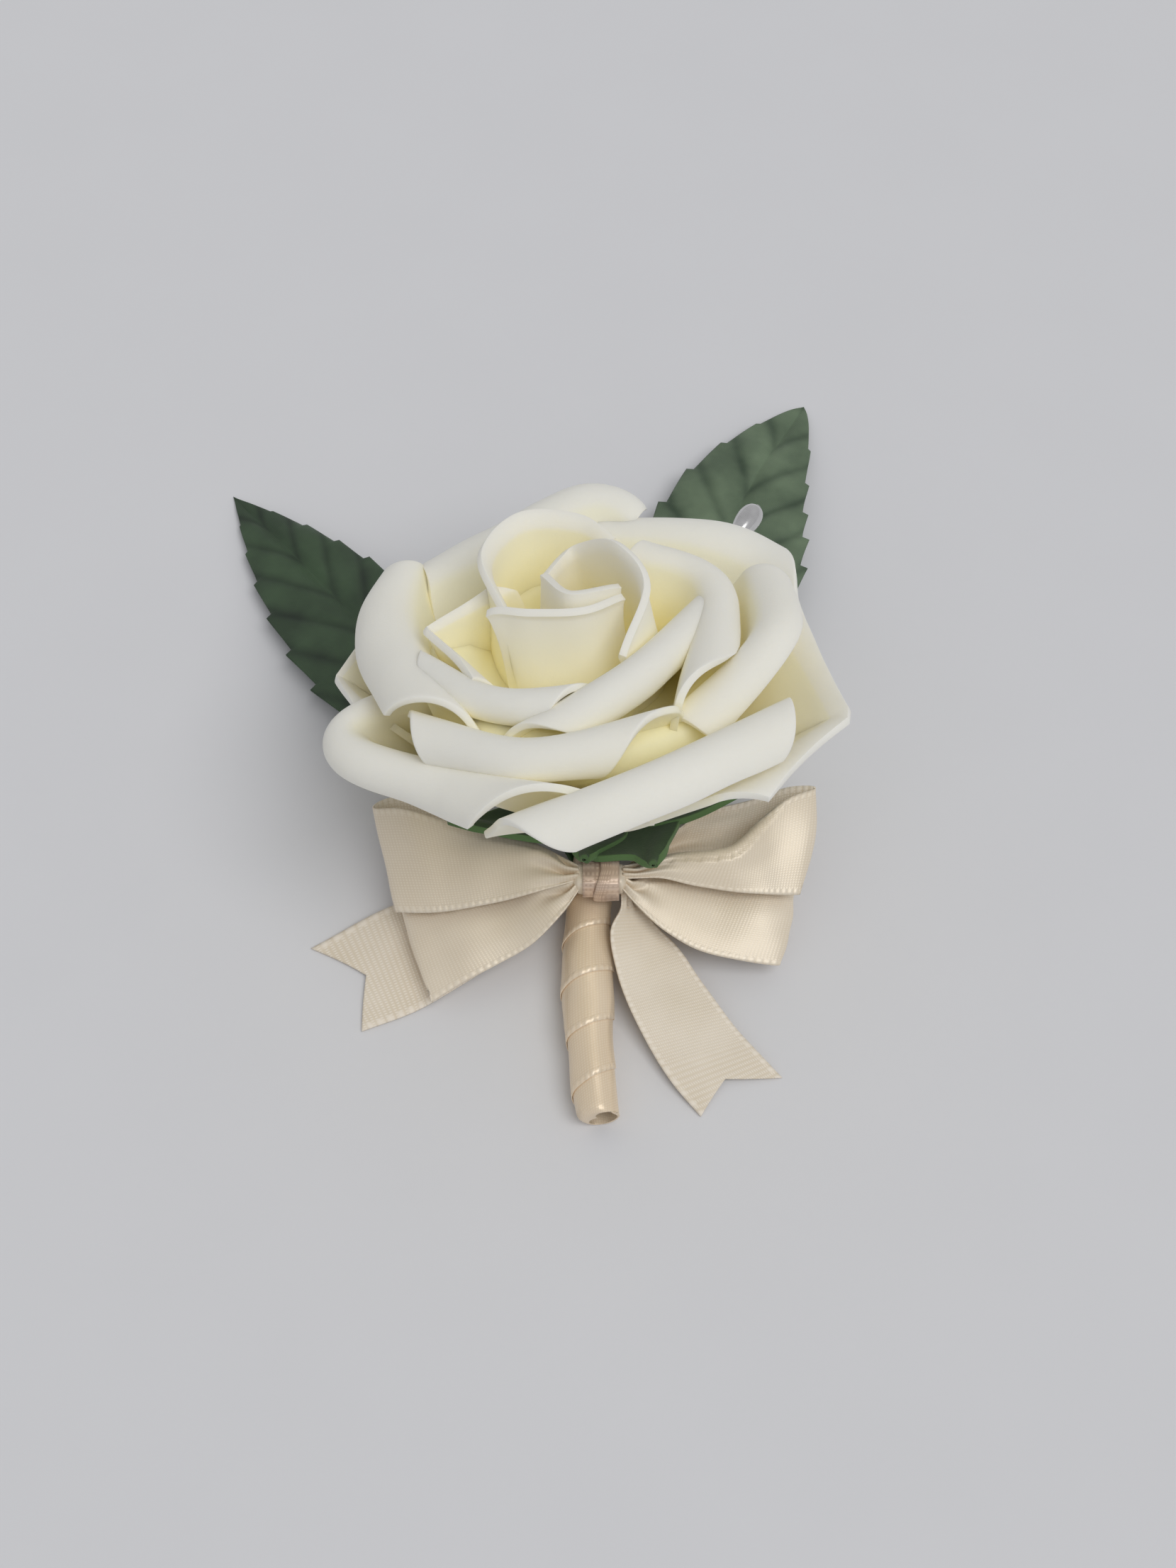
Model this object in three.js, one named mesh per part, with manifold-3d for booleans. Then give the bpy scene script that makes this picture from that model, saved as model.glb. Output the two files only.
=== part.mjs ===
// Boutonniere: one foam rose with a green foam calyx, two fabric rose leaves, a satin bow and a
// ribbon-wound stem, with a pearl-headed pin stuck in the back of the bloom.
// Millimetres. It lies on its back: the stem points to -Y, the leaf tips to +Y, +Z is up.
import * as THREE from 'three';
import { mergeVertices } from 'three/addons/utils/BufferGeometryUtils.js';
import Module from 'manifold-3d';

const wasm = await Module();
wasm.setup();

// ---- driving dimensions ----
const GAP = 0.3;                    // clearance wherever two separate pieces meet
const FOAM = 1.1;                   // thickness of the petal foam
const SEPAL_FOAM = 1.0;             // thickness of the green calyx foam
const LEAF_CLOTH = 0.7;             // leaf cloth with its moulded plastic rib
const RIBBON = 0.6;                 // satin ribbon, drawn thick enough to be a solid
const STEM_R = 1.2;                 // plastic-coated stem wire
const STALK_R = 0.5;                // leaf wire
const WRAP_Z = 3.7;                 // height of the handle's centre line
const WRAP_PITCH = 8;            // advance of the winding per turn
const FIRST_LAP = 4.9;              // from the handle's end to its first lapping edge, on top
const WRAP_STEP = 0.3;              // height of each overlapping edge
const PIN_R = 0.35;
const PIN_LENGTH = 46;
const PEARL_R = 2.05;

// The bloom stands on this point and leans back along BLOOM_AXIS; petals are given round that axis.
const BLOOM_BASE = new THREE.Vector3(2.1, -9.4, 11);
const BLOOM_AXIS = new THREE.Vector3(-0.052, 0.342, 0.938).normalize();

const deg = THREE.MathUtils.degToRad;
const vec = (p) => new THREE.Vector3(p[0], p[1], p[2]);
const around = (azimuth, radius, height) =>
  new THREE.Vector3(radius * Math.cos(deg(azimuth)), radius * Math.sin(deg(azimuth)), height);
const UP = new THREE.Vector3(0, 0, 1);

// ---- solids ----
function toManifold(geometry) {
  const g = geometry.clone();
  g.deleteAttribute('normal');
  g.deleteAttribute('uv');
  const m = mergeVertices(g, 1e-5);
  return new wasm.Manifold(new wasm.Mesh({
    numProp: 3,
    vertProperties: new Float32Array(m.attributes.position.array),
    triVerts: new Uint32Array(m.index.array),
  }));
}

function fromManifold(solid) {
  const mesh = solid.getMesh();
  const g = new THREE.BufferGeometry();
  g.setAttribute('position', new THREE.BufferAttribute(new Float32Array(mesh.vertProperties), 3));
  g.setIndex(new THREE.BufferAttribute(new Uint32Array(mesh.triVerts), 1));
  g.computeVertexNormals();
  return g;
}

function trianglesToGeometry(points, triangles) {
  const g = new THREE.BufferGeometry();
  g.setAttribute('position', new THREE.Float32BufferAttribute(points.flatMap((p) => [p.x, p.y, p.z]), 3));
  g.setIndex(triangles.flat());
  g.computeVertexNormals();
  return g;
}

// A grid of points, rows by columns, thickened evenly to both sides into one closed sheet.
function sheetSolid(rows, thickness, floor = -Infinity) {
  const n = rows.length;
  const m = rows[0].length;
  const top = [];
  const bottom = [];
  for (let i = 0; i < n; i++) {
    for (let j = 0; j < m; j++) {
      const along = rows[Math.min(i + 1, n - 1)][j].clone().sub(rows[Math.max(i - 1, 0)][j]);
      const across = rows[i][Math.min(j + 1, m - 1)].clone().sub(rows[i][Math.max(j - 1, 0)]);
      const half = across.cross(along).normalize().multiplyScalar(thickness / 2);
      top.push(rows[i][j].clone().add(half));
      bottom.push(rows[i][j].clone().sub(half));
    }
  }
  for (const p of bottom) p.z = Math.max(p.z, floor);
  for (const p of top) p.z = Math.max(p.z, floor + thickness);
  const at = (i, j) => i * m + j;
  const low = n * m;
  const tris = [];
  for (let i = 0; i < n - 1; i++) {
    for (let j = 0; j < m - 1; j++) {
      const [a, b, c, d] = [at(i, j), at(i, j + 1), at(i + 1, j + 1), at(i + 1, j)];
      tris.push([a, b, c], [a, c, d]);
      tris.push([low + a, low + c, low + b], [low + a, low + d, low + c]);
    }
  }
  const rim = [];
  for (let j = 0; j < m - 1; j++) rim.push(at(0, j));
  for (let i = 0; i < n - 1; i++) rim.push(at(i, m - 1));
  for (let j = m - 1; j > 0; j--) rim.push(at(n - 1, j));
  for (let i = n - 1; i > 0; i--) rim.push(at(i, 0));
  rim.forEach((p, k) => {
    const q = rim[(k + 1) % rim.length];
    tris.push([p, low + p, low + q], [p, low + q, q]);
  });
  return trianglesToGeometry([...top, ...bottom], tris);
}

// Rings of points joined into a closed tube with a fan at each end.
function tubeSolid(rings) {
  const m = rings[0].length;
  const points = rings.flat();
  const tris = [];
  for (let i = 0; i < rings.length - 1; i++) {
    for (let j = 0; j < m; j++) {
      const k = (j + 1) % m;
      const [a, b, c, d] = [i * m + j, i * m + k, (i + 1) * m + k, (i + 1) * m + j];
      tris.push([a, b, c], [a, c, d]);
    }
  }
  for (const [ring, first] of [[rings[0], 0], [rings.at(-1), (rings.length - 1) * m]]) {
    const centre = ring.reduce((s, p) => s.add(p), new THREE.Vector3()).multiplyScalar(1 / m);
    points.push(centre);
    for (let j = 0; j < m; j++) {
      const k = (j + 1) % m;
      tris.push(first === 0 ? [points.length - 1, k, j] : [points.length - 1, first + j, first + k]);
    }
  }
  return trianglesToGeometry(points, tris);
}

function wireAlong(points, radius, sides, steps = 14) {
  const circle = new THREE.Shape().absarc(0, 0, radius, 0, 2 * Math.PI, false);
  const path = new THREE.CatmullRomCurve3(points.map(vec), false, 'catmullrom');
  return new THREE.ExtrudeGeometry(circle,
    { steps, curveSegments: sides, bevelEnabled: false, extrudePath: path });
}

const union = (solids) => solids.reduce((a, b) => a.add(b));
const boutonniere = new THREE.Group();

function place(name, geometry, color, roughness, metalness = 0) {
  const mesh = new THREE.Mesh(geometry, new THREE.MeshStandardMaterial({ color, roughness, metalness }));
  mesh.name = name;
  boutonniere.add(mesh);
  return mesh;
}

// ---- rose bloom ----
// Each petal: the rim is where the foam turns over, as [azimuth, radius, height] points round the
// bloom's axis; roll is [lengths, turns in degrees] of the turned-over part at start, middle and
// end of the rim; cut is how far its two corners are pulled in; lean is how far the petal leans
// out at the rim; root is [start azimuth, end azimuth, radius, height] of the glued foot.
const petals = [
  // six outer petals
  { rim: [[-180, 13, 22.5], [-158, 36.3, 26.1], [-124, 30.6, 27.8], [-92, 35.2, 31.4]], lean: 38,
    roll: [[8.8, 8.9, 13.4], [162, 185, 71]], cut: [0.26, 0.25], q: 1.2, root: [-195, -90, 5, 2] },
  { rim: [[-110, 38.5, 27.1], [-77, 32.1, 32.1], [-32, 32.7, 31.5]], lean: 35,
    roll: [[12, 9.7, 10.3], [164, 156, 153]], cut: [0.22, 0.15], q: 0.8, root: [-115, -30, 5, 2] },
  { rim: [[-63.3, 34.8, 25.6], [-24.5, 36.6, 25.9], [25, 27.7, 27.8]], lean: 49, tip: 0.9,
    roll: [[8.3, 3.5, 5.7], [74, 25, 67]], cut: [0.09, 0.07], q: 1.15, root: [-60, 25, 5, 2] },
  { rim: [[89, 25.7, 30.5], [57.5, 27.1, 30.3], [37.4, 30.7, 28], [13.2, 31.6, 28.9]], lean: 27,
    roll: [[6.8, 7.1, 7.3], [131, 89, 94]], cut: [0, 0.3], q: 0.85, root: [95, 15, 5, 2] },
  { rim: [[149, 28.7, 29.5], [117, 26.2, 30.4], [89, 29.7, 33.3], [77, 28.1, 31]], lean: 30,
    roll: [[8.5, 9, 6.5], [138, 114, 130]], cut: [0.06, 0.1], q: 1.2, root: [145, 70, 5, 2] },
  { rim: [[152, 33, 27], [175, 38, 23], [196, 33, 26]], lean: 50, tip: 0.8,
    roll: [[2.5, 1, 2.5], [60, 20, 60]], cut: [0.05, 0.05], q: 1.15, root: [140, 205, 5, 2] },
  // three middle petals
  { rim: [[142, 32.9, 31.2], [172, 25.9, 30.6], [234, 27.2, 32.2]], lean: 20,
    roll: [[7.2, 12.7, 11], [161, 162, 126]], cut: [0.08, 0.17], q: 1.15, root: [140, 210, 5, 4] },
  { rim: [[-148, 30.2, 31.2], [-108, 27.2, 33], [-62, 25.5, 35]], lean: 38,
    roll: [[10.8, 9.7, 10.4], [135, 221, 97]], cut: [0.19, 0.29], q: 1.35, root: [-150, -60, 5, 4] },
  { rim: [[-60, 21, 29.4], [-16, 24.2, 35.5], [27, 25.6, 32.9]], lean: 26,
    roll: [[10.9, 7.3, 7.8], [173, 130, 117]], cut: [0.1, 0.16], q: 0.5, root: [-60, 35, 5, 4] },
  // five inner petals
  { rim: [[-170, 25.3, 32.8], [-128, 20.5, 34.4], [-89, 17.8, 35.6]], lean: 29,
    roll: [[7.2, 7.6, 5.8], [122, 213, 120]], cut: [0.22, 0.29], q: 1.1, root: [-175, -85, 4.5, 6] },
  { rim: [[-118, 25.5, 30.8], [-74, 15.1, 36.1], [11, 16.3, 35]], lean: 29,
    roll: [[8.8, 9.6, 5], [144, 217, 136]], cut: [0.31, 0.13], q: 0.95, root: [-110, 15, 4.5, 6] },
  { rim: [[66, 13.3, 36], [14, 16.1, 35.5], [-61, 24.8, 35]], lean: 23,
    roll: [[3.9, 7.4, 7.2], [80, 161, 70]], cut: [0.03, 0.24], q: 0.5, root: [70, -30, 4.5, 6] },
  { rim: [[148, 12.8, 35.5], [184, 23.1, 34], [225, 19.5, 33]], lean: 20, tip: 0.8,
    roll: [[2.5, 1.4, 3.9], [91, 30, 59]], cut: [0.1, 0.03], q: 1.15, root: [140, 225, 4.5, 6] },
  { rim: [[194, 11.9, 37.2], [154, 16.1, 39.1], [122, 18.5, 39.5], [96, 16, 39.1], [75, 13, 38]], lean: 5,
    roll: [[2, 3, 2], [40, 50, 40]], cut: [0, 0], q: 1.15, root: [190, 65, 4, 7] },
  // three petals wound into the bud
  { rim: [[148, 7.4, 37.9], [102, 9.2, 39.1], [40, 5.5, 43.1], [-25, 8.9, 40.8], [-70, 13.4, 36.2]], lean: -5,
    roll: [[1.5, 2, 1.5], [30, 30, 30]], cut: [0, 0], q: 1.15, root: [150, -80, 3.5, 10], wide: 0 },
  { rim: [[-156, 15, 39.4], [-150, 13.5, 40.2], [-134, 10.9, 40.4], [-94, 7.4, 39.9], [-31, 5.4, 38.8]],
    lean: 0,
    roll: [[1.5, 2, 1.5], [30, 50, 30]], cut: [0, 0], q: 1.15, root: [-165, -20, 3.5, 10], wide: 0 },
  { rim: [[164, 6.5, 40.4], [-118, 5.3, 41.4], [-16, 4.6, 39.9]], lean: -10,
    roll: [[1, 1, 1], [10, 10, 10]], cut: [0, 0], q: 1.15, root: [150, 0, 2, 12], wide: 0 },
];
const PETAL_CELLS = 7;              // across each petal
const BODY_ROWS = 3;                // root to rim
const ROLL_ROWS = 4;                // rim to free edge

// Value at a along a rim given at its start, middle and end.
const along3 = ([s, m, e], a) => 2 * s * (a - 0.5) * (a - 1) - 4 * m * a * (a - 1) + 2 * e * a * (a - 0.5);

function rimPoint(petal, a) {
  const points = petal.rim.map((p) => around(...p));
  const smooth = new THREE.CatmullRomCurve3(points, false, 'catmullrom').getPoint(a);
  if (!petal.tip) return smooth;
  const soft = 0.12;                // rounding of the pointed middle
  const ease = (t) => (Math.hypot(t, soft) - soft) / (Math.hypot(1, soft) - soft);
  const [first, middle, last] = points;
  const pointed = middle.clone()
    .addScaledVector(first.clone().sub(middle), ease(Math.max(0, 1 - 2 * a)))
    .addScaledVector(last.clone().sub(middle), ease(Math.max(0, 2 * a - 1)));
  return smooth.lerp(pointed, petal.tip);
}

// At the rim: the point, the way the petal climbs there, and the way it turns over.
function rimFrame(petal, a) {
  const point = rimPoint(petal, a);
  const side = rimPoint(petal, Math.min(1, a + 0.01)).sub(rimPoint(petal, Math.max(0, a - 0.01))).normalize();
  const out = new THREE.Vector3(point.x, point.y, 0).normalize();
  const climb = UP.clone().multiplyScalar(Math.cos(deg(petal.lean)))
    .addScaledVector(out, Math.sin(deg(petal.lean)));
  climb.addScaledVector(side, -climb.dot(side)).normalize();
  const turn = side.clone().cross(climb);
  if (turn.dot(out) < 0) turn.negate();
  return { point, climb, turn };
}

function bodyPoint(petal, a, s) {
  const [from, to, radius, height] = petal.root;
  const { point, climb } = rimFrame(petal, a);
  const foot = around(from + (to - from) * a, radius, height);
  const reach = foot.distanceTo(point);
  const rise = new THREE.Vector3(foot.x, foot.y, 0).normalize().multiplyScalar(Math.cos(deg(25)));
  rise.z = Math.sin(deg(25));
  const low = foot.clone().addScaledVector(rise, 0.42 * reach);
  const high = point.clone().addScaledVector(climb, -0.38 * reach);
  const p = new THREE.CubicBezierCurve3(foot, low, high, point).getPoint(s);
  const spread = deg(petal.wide ?? 30) * (2 * a - 1) * (1 - s) * Math.sign(to - from);
  return p.applyAxisAngle(UP, spread);
}

function rollPoint(petal, a, s) {
  const inset = 1 - (1 - s) ** petal.q;
  const [left, right] = petal.cut;
  const a2 = left * inset + a * (1 - (left + right) * inset);
  const { point, climb, turn } = rimFrame(petal, a2);
  const length = along3(petal.roll[0], a2) * s;
  const angle = deg(along3(petal.roll[1], a2)) * s;
  const radius = length / Math.max(angle, 1e-4);
  return point.addScaledVector(climb, radius * Math.sin(angle))
    .addScaledVector(turn, radius * (1 - Math.cos(angle)));
}

function petalSolid(petal) {
  const rows = [];
  const cells = [...Array(PETAL_CELLS + 1).keys()].map((j) => j / PETAL_CELLS);
  for (let i = 0; i < BODY_ROWS; i++) rows.push(cells.map((a) => bodyPoint(petal, a, i / BODY_ROWS)));
  for (let i = 0; i <= ROLL_ROWS; i++) rows.push(cells.map((a) => rollPoint(petal, a, i / ROLL_ROWS)));
  return toManifold(sheetSolid(rows, FOAM));
}

const stand = new THREE.Matrix4();
{
  const x = new THREE.Vector3(1, 0, 0).addScaledVector(BLOOM_AXIS, -BLOOM_AXIS.x).normalize();
  const y = BLOOM_AXIS.clone().cross(x);
  stand.makeBasis(x, y, BLOOM_AXIS).setPosition(BLOOM_BASE);
}
const onBloom = (azimuth, radius, height) => around(azimuth, radius, height).applyMatrix4(stand);

// The foam pad that the petals are glued to, fuller towards the front of the bloom.
const pad = new THREE.LatheGeometry([[0, 0.5], [5, 2.5], [9, 7.5], [13.5, 13], [17, 17.5], [20.5, 21.5],
  [23.6, 25], [24.2, 27.3], [23, 29.6], [20.5, 31], [17.5, 30], [15.5, 27.5], [13, 25.5], [9, 24.5], [0, 24.5]]
  .map(([r, h]) => new THREE.Vector2(r, h)), 24);
pad.rotateX(Math.PI / 2).translate(-0.6, -2, 0);
const glued = union([toManifold(pad), ...petals.map(petalSolid)]);
// Pockets sealed between the pad and the petals are shells of negative volume; without them it is solid.
let bloom = union(glued.decompose().filter((shell) => shell.volume() > 0)).transform(stand.toArray());

// ---- pin ----
// The pin's own axis runs along +Y from inside the pearl to the point.
const pinStart = new THREE.Vector3(24.8, 36, 20.2);
const pinAim = new THREE.Vector3(3, -1, 24);
const pinWay = pinAim.clone().sub(pinStart).normalize();
const pinTurn = new THREE.Quaternion().setFromUnitVectors(new THREE.Vector3(0, 1, 0), pinWay);
const pinPlace = new THREE.Matrix4().compose(pinStart, pinTurn, new THREE.Vector3(1, 1, 1));
const turned = (profile, sides) =>
  new THREE.LatheGeometry(profile.map(([r, y]) => new THREE.Vector2(r, y)), sides);

const pinShaft = turned([[0, 0], [PIN_R, 0], [PIN_R, PIN_LENGTH - 4], [0, PIN_LENGTH]], 10);
const pinBore = turned([[0, 3], [PIN_R + GAP, 3], [PIN_R + GAP, PIN_LENGTH + 0.5], [0, PIN_LENGTH + 0.5]], 8);
const pearl = turned([[0, -6.1], [0.45, -6], [0.5, -5.65], [1.15, -5.3], [1.85, -4.2], [PEARL_R, -2.6],
  [1.8, -0.6], [1.35, 1.1], [0.95, 2.2], [PIN_R + GAP, 2.2], [PIN_R + GAP, -GAP], [0, -GAP]], 14);
for (const g of [pinShaft, pinBore, pearl]) g.applyMatrix4(pinPlace);

bloom = bloom.subtract(toManifold(pinBore));

// ---- stem and leaf stalks ----
const stemPath = [[1.2, -55.8, 3.6], [0, -44, WRAP_Z], [-0.1, -30, WRAP_Z], [0.4, -18.5, WRAP_Z],
  [1.7, -13, 4.9], [2.2, -10.5, 8.6], [2, -8.2, 14.5]];
const leftStalkPath = [[-2.15, -30, 4.4], [-1.9, -18, 4.4], [-7, -9.5, 4.4], [-18.4, 3.7, 5]];
const rightStalkPath = [[2.0, -30, 4.4], [2.7, -18.5, 4.4], [6.5, -8, 4.4], [12.6, 11, 5.4]];
const wires = [[stemPath, STEM_R], [leftStalkPath, STALK_R], [rightStalkPath, STALK_R]];
// What a wire needs to pass with clearance: the wire, thicker and a little longer at both ends.
function boreFor(path, radius) {
  const points = path.map(vec);
  const [first, second] = points;
  const [beforeLast, last] = points.slice(-2);
  const longer = [first.clone().add(first.clone().sub(second).setLength(GAP * 1.2)), ...points.slice(1, -1),
    last.clone().add(last.clone().sub(beforeLast).setLength(GAP * 1.2))];
  return toManifold(wireAlong(longer.map((p) => p.toArray()), radius + GAP * 1.15, 4));
}

// The stem's top end is glued in a blind hole in the base of the bloom.
bloom = bloom.subtract(boreFor(stemPath, STEM_R));
place('rose_bloom', fromManifold(bloom), 0xf3efdf, 0.65);
place('rose_stem', wireAlong(stemPath, STEM_R, 4), 0x3f6b3a, 0.5);

// ---- calyx: a cup of green foam with seven pointed lobes ----
// [azimuth, reach, height of the tip, width, sideways drift in degrees]
const sepals = [
  [-155, 25, 6.5, 10, 0], [-108, 14.5, 0.9, 11, 8], [-38, 17.5, 0.6, 19, -26], [-4, 30, 5.6, 10, 6],
  [45, 28, 6, 10, 0], [98, 27, 6, 10, 0], [152, 27, 6, 10, 0],
];
const SEPAL_ROWS = 5;
const SEPAL_CELLS = 2;

function sepalSolid([azimuth, reach, tip, width, drift]) {
  const rows = [];
  for (let i = 0; i <= SEPAL_ROWS; i++) {
    const t = i / SEPAL_ROWS;
    const middle = around(azimuth + drift * t, 3.5 + (reach - 3.5) * t, -1.6 + (tip + 1.6) * t ** 1.7);
    const across = around(azimuth + drift * t + 90, 1, 0);
    const half = (width / 2) * (0.5 + 0.5 * Math.sin(Math.PI * Math.min(1, 0.25 + t))) * (1 - t ** 3) + 0.4;
    const row = [];
    for (let j = 0; j <= SEPAL_CELLS; j++) {
      const v = (2 * j) / SEPAL_CELLS - 1;
      const p = middle.clone().addScaledVector(across, v * half);
      p.z += 0.8 * v * v * (1 - t);
      row.push(p);
    }
    rows.push(row);
  }
  return toManifold(sheetSolid(rows, SEPAL_FOAM));
}
const cup = turned([[0, -2.8], [3, -2.8], [5.4, -1.6], [5.4, -0.4], [0, -0.4]], 20);
cup.rotateX(Math.PI / 2);
const calyx = union([toManifold(cup), ...sepals.map(sepalSolid)]).transform(stand.toArray())
  .subtract(boreFor(stemPath, STEM_R));
place('rose_calyx', fromManifold(calyx), 0x2f5a38, 0.8);

// ---- leaves: pressed cloth rose leaves with toothed edges, folded a little along the rib ----
// halves are the widest half widths, on the left and the right of the rib.
const leaves = {
  leaf_left: { rib: [[-19, 3, 5.2], [-34.7, 24, 5], [-49.3, 42.4, 2.6], [-62.5, 58.3, 0.35]],
    halves: [14, 11.4], taper: 1.1, fold: 0.12, color: 0x33452f, stalk: leftStalkPath },
  leaf_right: { rib: [[13, 12, 5.6], [21, 35, 5.6], [27.5, 56, 4.2], [39.1, 78.7, 0.35]],
    halves: [15, 14.6], taper: 0.85, fold: 0.1, color: 0x4f6446, stalk: rightStalkPath },
};
const TEETH = 9;                    // on each side
const TOOTH = 0.1;                  // depth of a tooth as a share of the half width
const LEAF_CELLS = 3;               // from the rib to the edge

// Half width from base (0) to tip (1), one at its widest. A bigger taper is a longer, sharper tip.
function leafOutline(u, taper) {
  const widest = 1 / (1 + 2 * taper);
  return Math.sqrt(u / widest) * ((1 - u) / (1 - widest)) ** taper;
}

function leafSheet({ rib, halves, taper, fold }) {
  const curve = new THREE.CatmullRomCurve3(rib.map(vec), false, 'catmullrom');
  const rows = [];
  for (let i = 0; i <= 2 * TEETH; i++) {
    const tooth = i % 2 === 1;
    const u = 0.03 + 0.97 * ((i + (tooth ? 0.55 : 0)) / (2 * TEETH));
    const middle = curve.getPoint(u);
    const forward = curve.getTangent(u);
    const side = new THREE.Vector3(forward.y, -forward.x, 0).normalize();
    const outline = leafOutline(u, taper);
    const row = [];
    for (let j = -LEAF_CELLS; j <= LEAF_CELLS; j++) {
      const v = j / LEAF_CELLS;
      const widest = halves[v < 0 ? 0 : 1];
      const half = Math.max(0.35, widest * outline * (tooth ? 1 : 1 - TOOTH));
      const p = middle.clone().addScaledVector(side, v * half);
      p.z += fold * Math.abs(v) * half - 0.1 * widest * v * v * outline;
      row.push(p);
    }
    rows.push(row);
  }
  return sheetSolid(rows, LEAF_CLOTH, 0);
}

for (const [name, leaf] of Object.entries(leaves)) {
  place(name, leafSheet(leaf), leaf.color, 0.55);
  place(`${name}_stalk`, wireAlong(leaf.stalk, STALK_R, 3), 0x3d6038, 0.5);
}

// ---- handle: ribbon wound in a spiral over the wires, each turn lapping the last ----
const wrapPath = new THREE.CatmullRomCurve3([[1.4, -57.8, 3.3], [0.5, -49.3, 3.6], [0, -40.7, WRAP_Z],
  [-0.1, -32.1, WRAP_Z], [0.2, -23.6, WRAP_Z], [1.1, -15.2, 4]].map(vec), false, 'catmullrom');
const girth = new THREE.CatmullRomCurve3(
  [3.05, 3.4, 3.65, 3.95, 3.65, 3.4, 3.3].map((r) => new THREE.Vector3(r, 0, 0)), false, 'catmullrom');
const WRAP_RINGS = 36;
const WRAP_SIDES = 14;
const wrapRings = [];
for (let i = 0; i <= WRAP_RINGS; i++) {
  const t = i / WRAP_RINGS;
  const centre = wrapPath.getPointAt(t);
  const forward = wrapPath.getTangentAt(t);
  const up = forward.clone().cross(new THREE.Vector3(-1, 0, 0)).normalize();
  const side = forward.clone().cross(up).normalize();
  const travelled = t * wrapPath.getLength();
  const ring = [];
  for (let j = 0; j < WRAP_SIDES; j++) {
    const turn = j / WRAP_SIDES;
    const lap = (travelled - FIRST_LAP) / WRAP_PITCH - (turn - 0.25);
    const r = girth.getPoint(t).x + WRAP_STEP * (0.5 - (lap - Math.floor(lap)));
    ring.push(centre.clone().addScaledVector(side, -r * Math.cos(2 * Math.PI * turn))
      .addScaledVector(up, r * Math.sin(2 * Math.PI * turn)));
  }
  wrapRings.push(ring);
}
let wrap = toManifold(tubeSolid(wrapRings));
for (const [path, radius] of wires) wrap = wrap.subtract(boreFor(path, radius));
const table = new THREE.BoxGeometry(40, 120, 10);
table.translate(0, -30, -5);
wrap = wrap.subtract(toManifold(table));
place('stem_wrap', fromManifold(wrap), 0xd6c4ae, 0.4);

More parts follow.
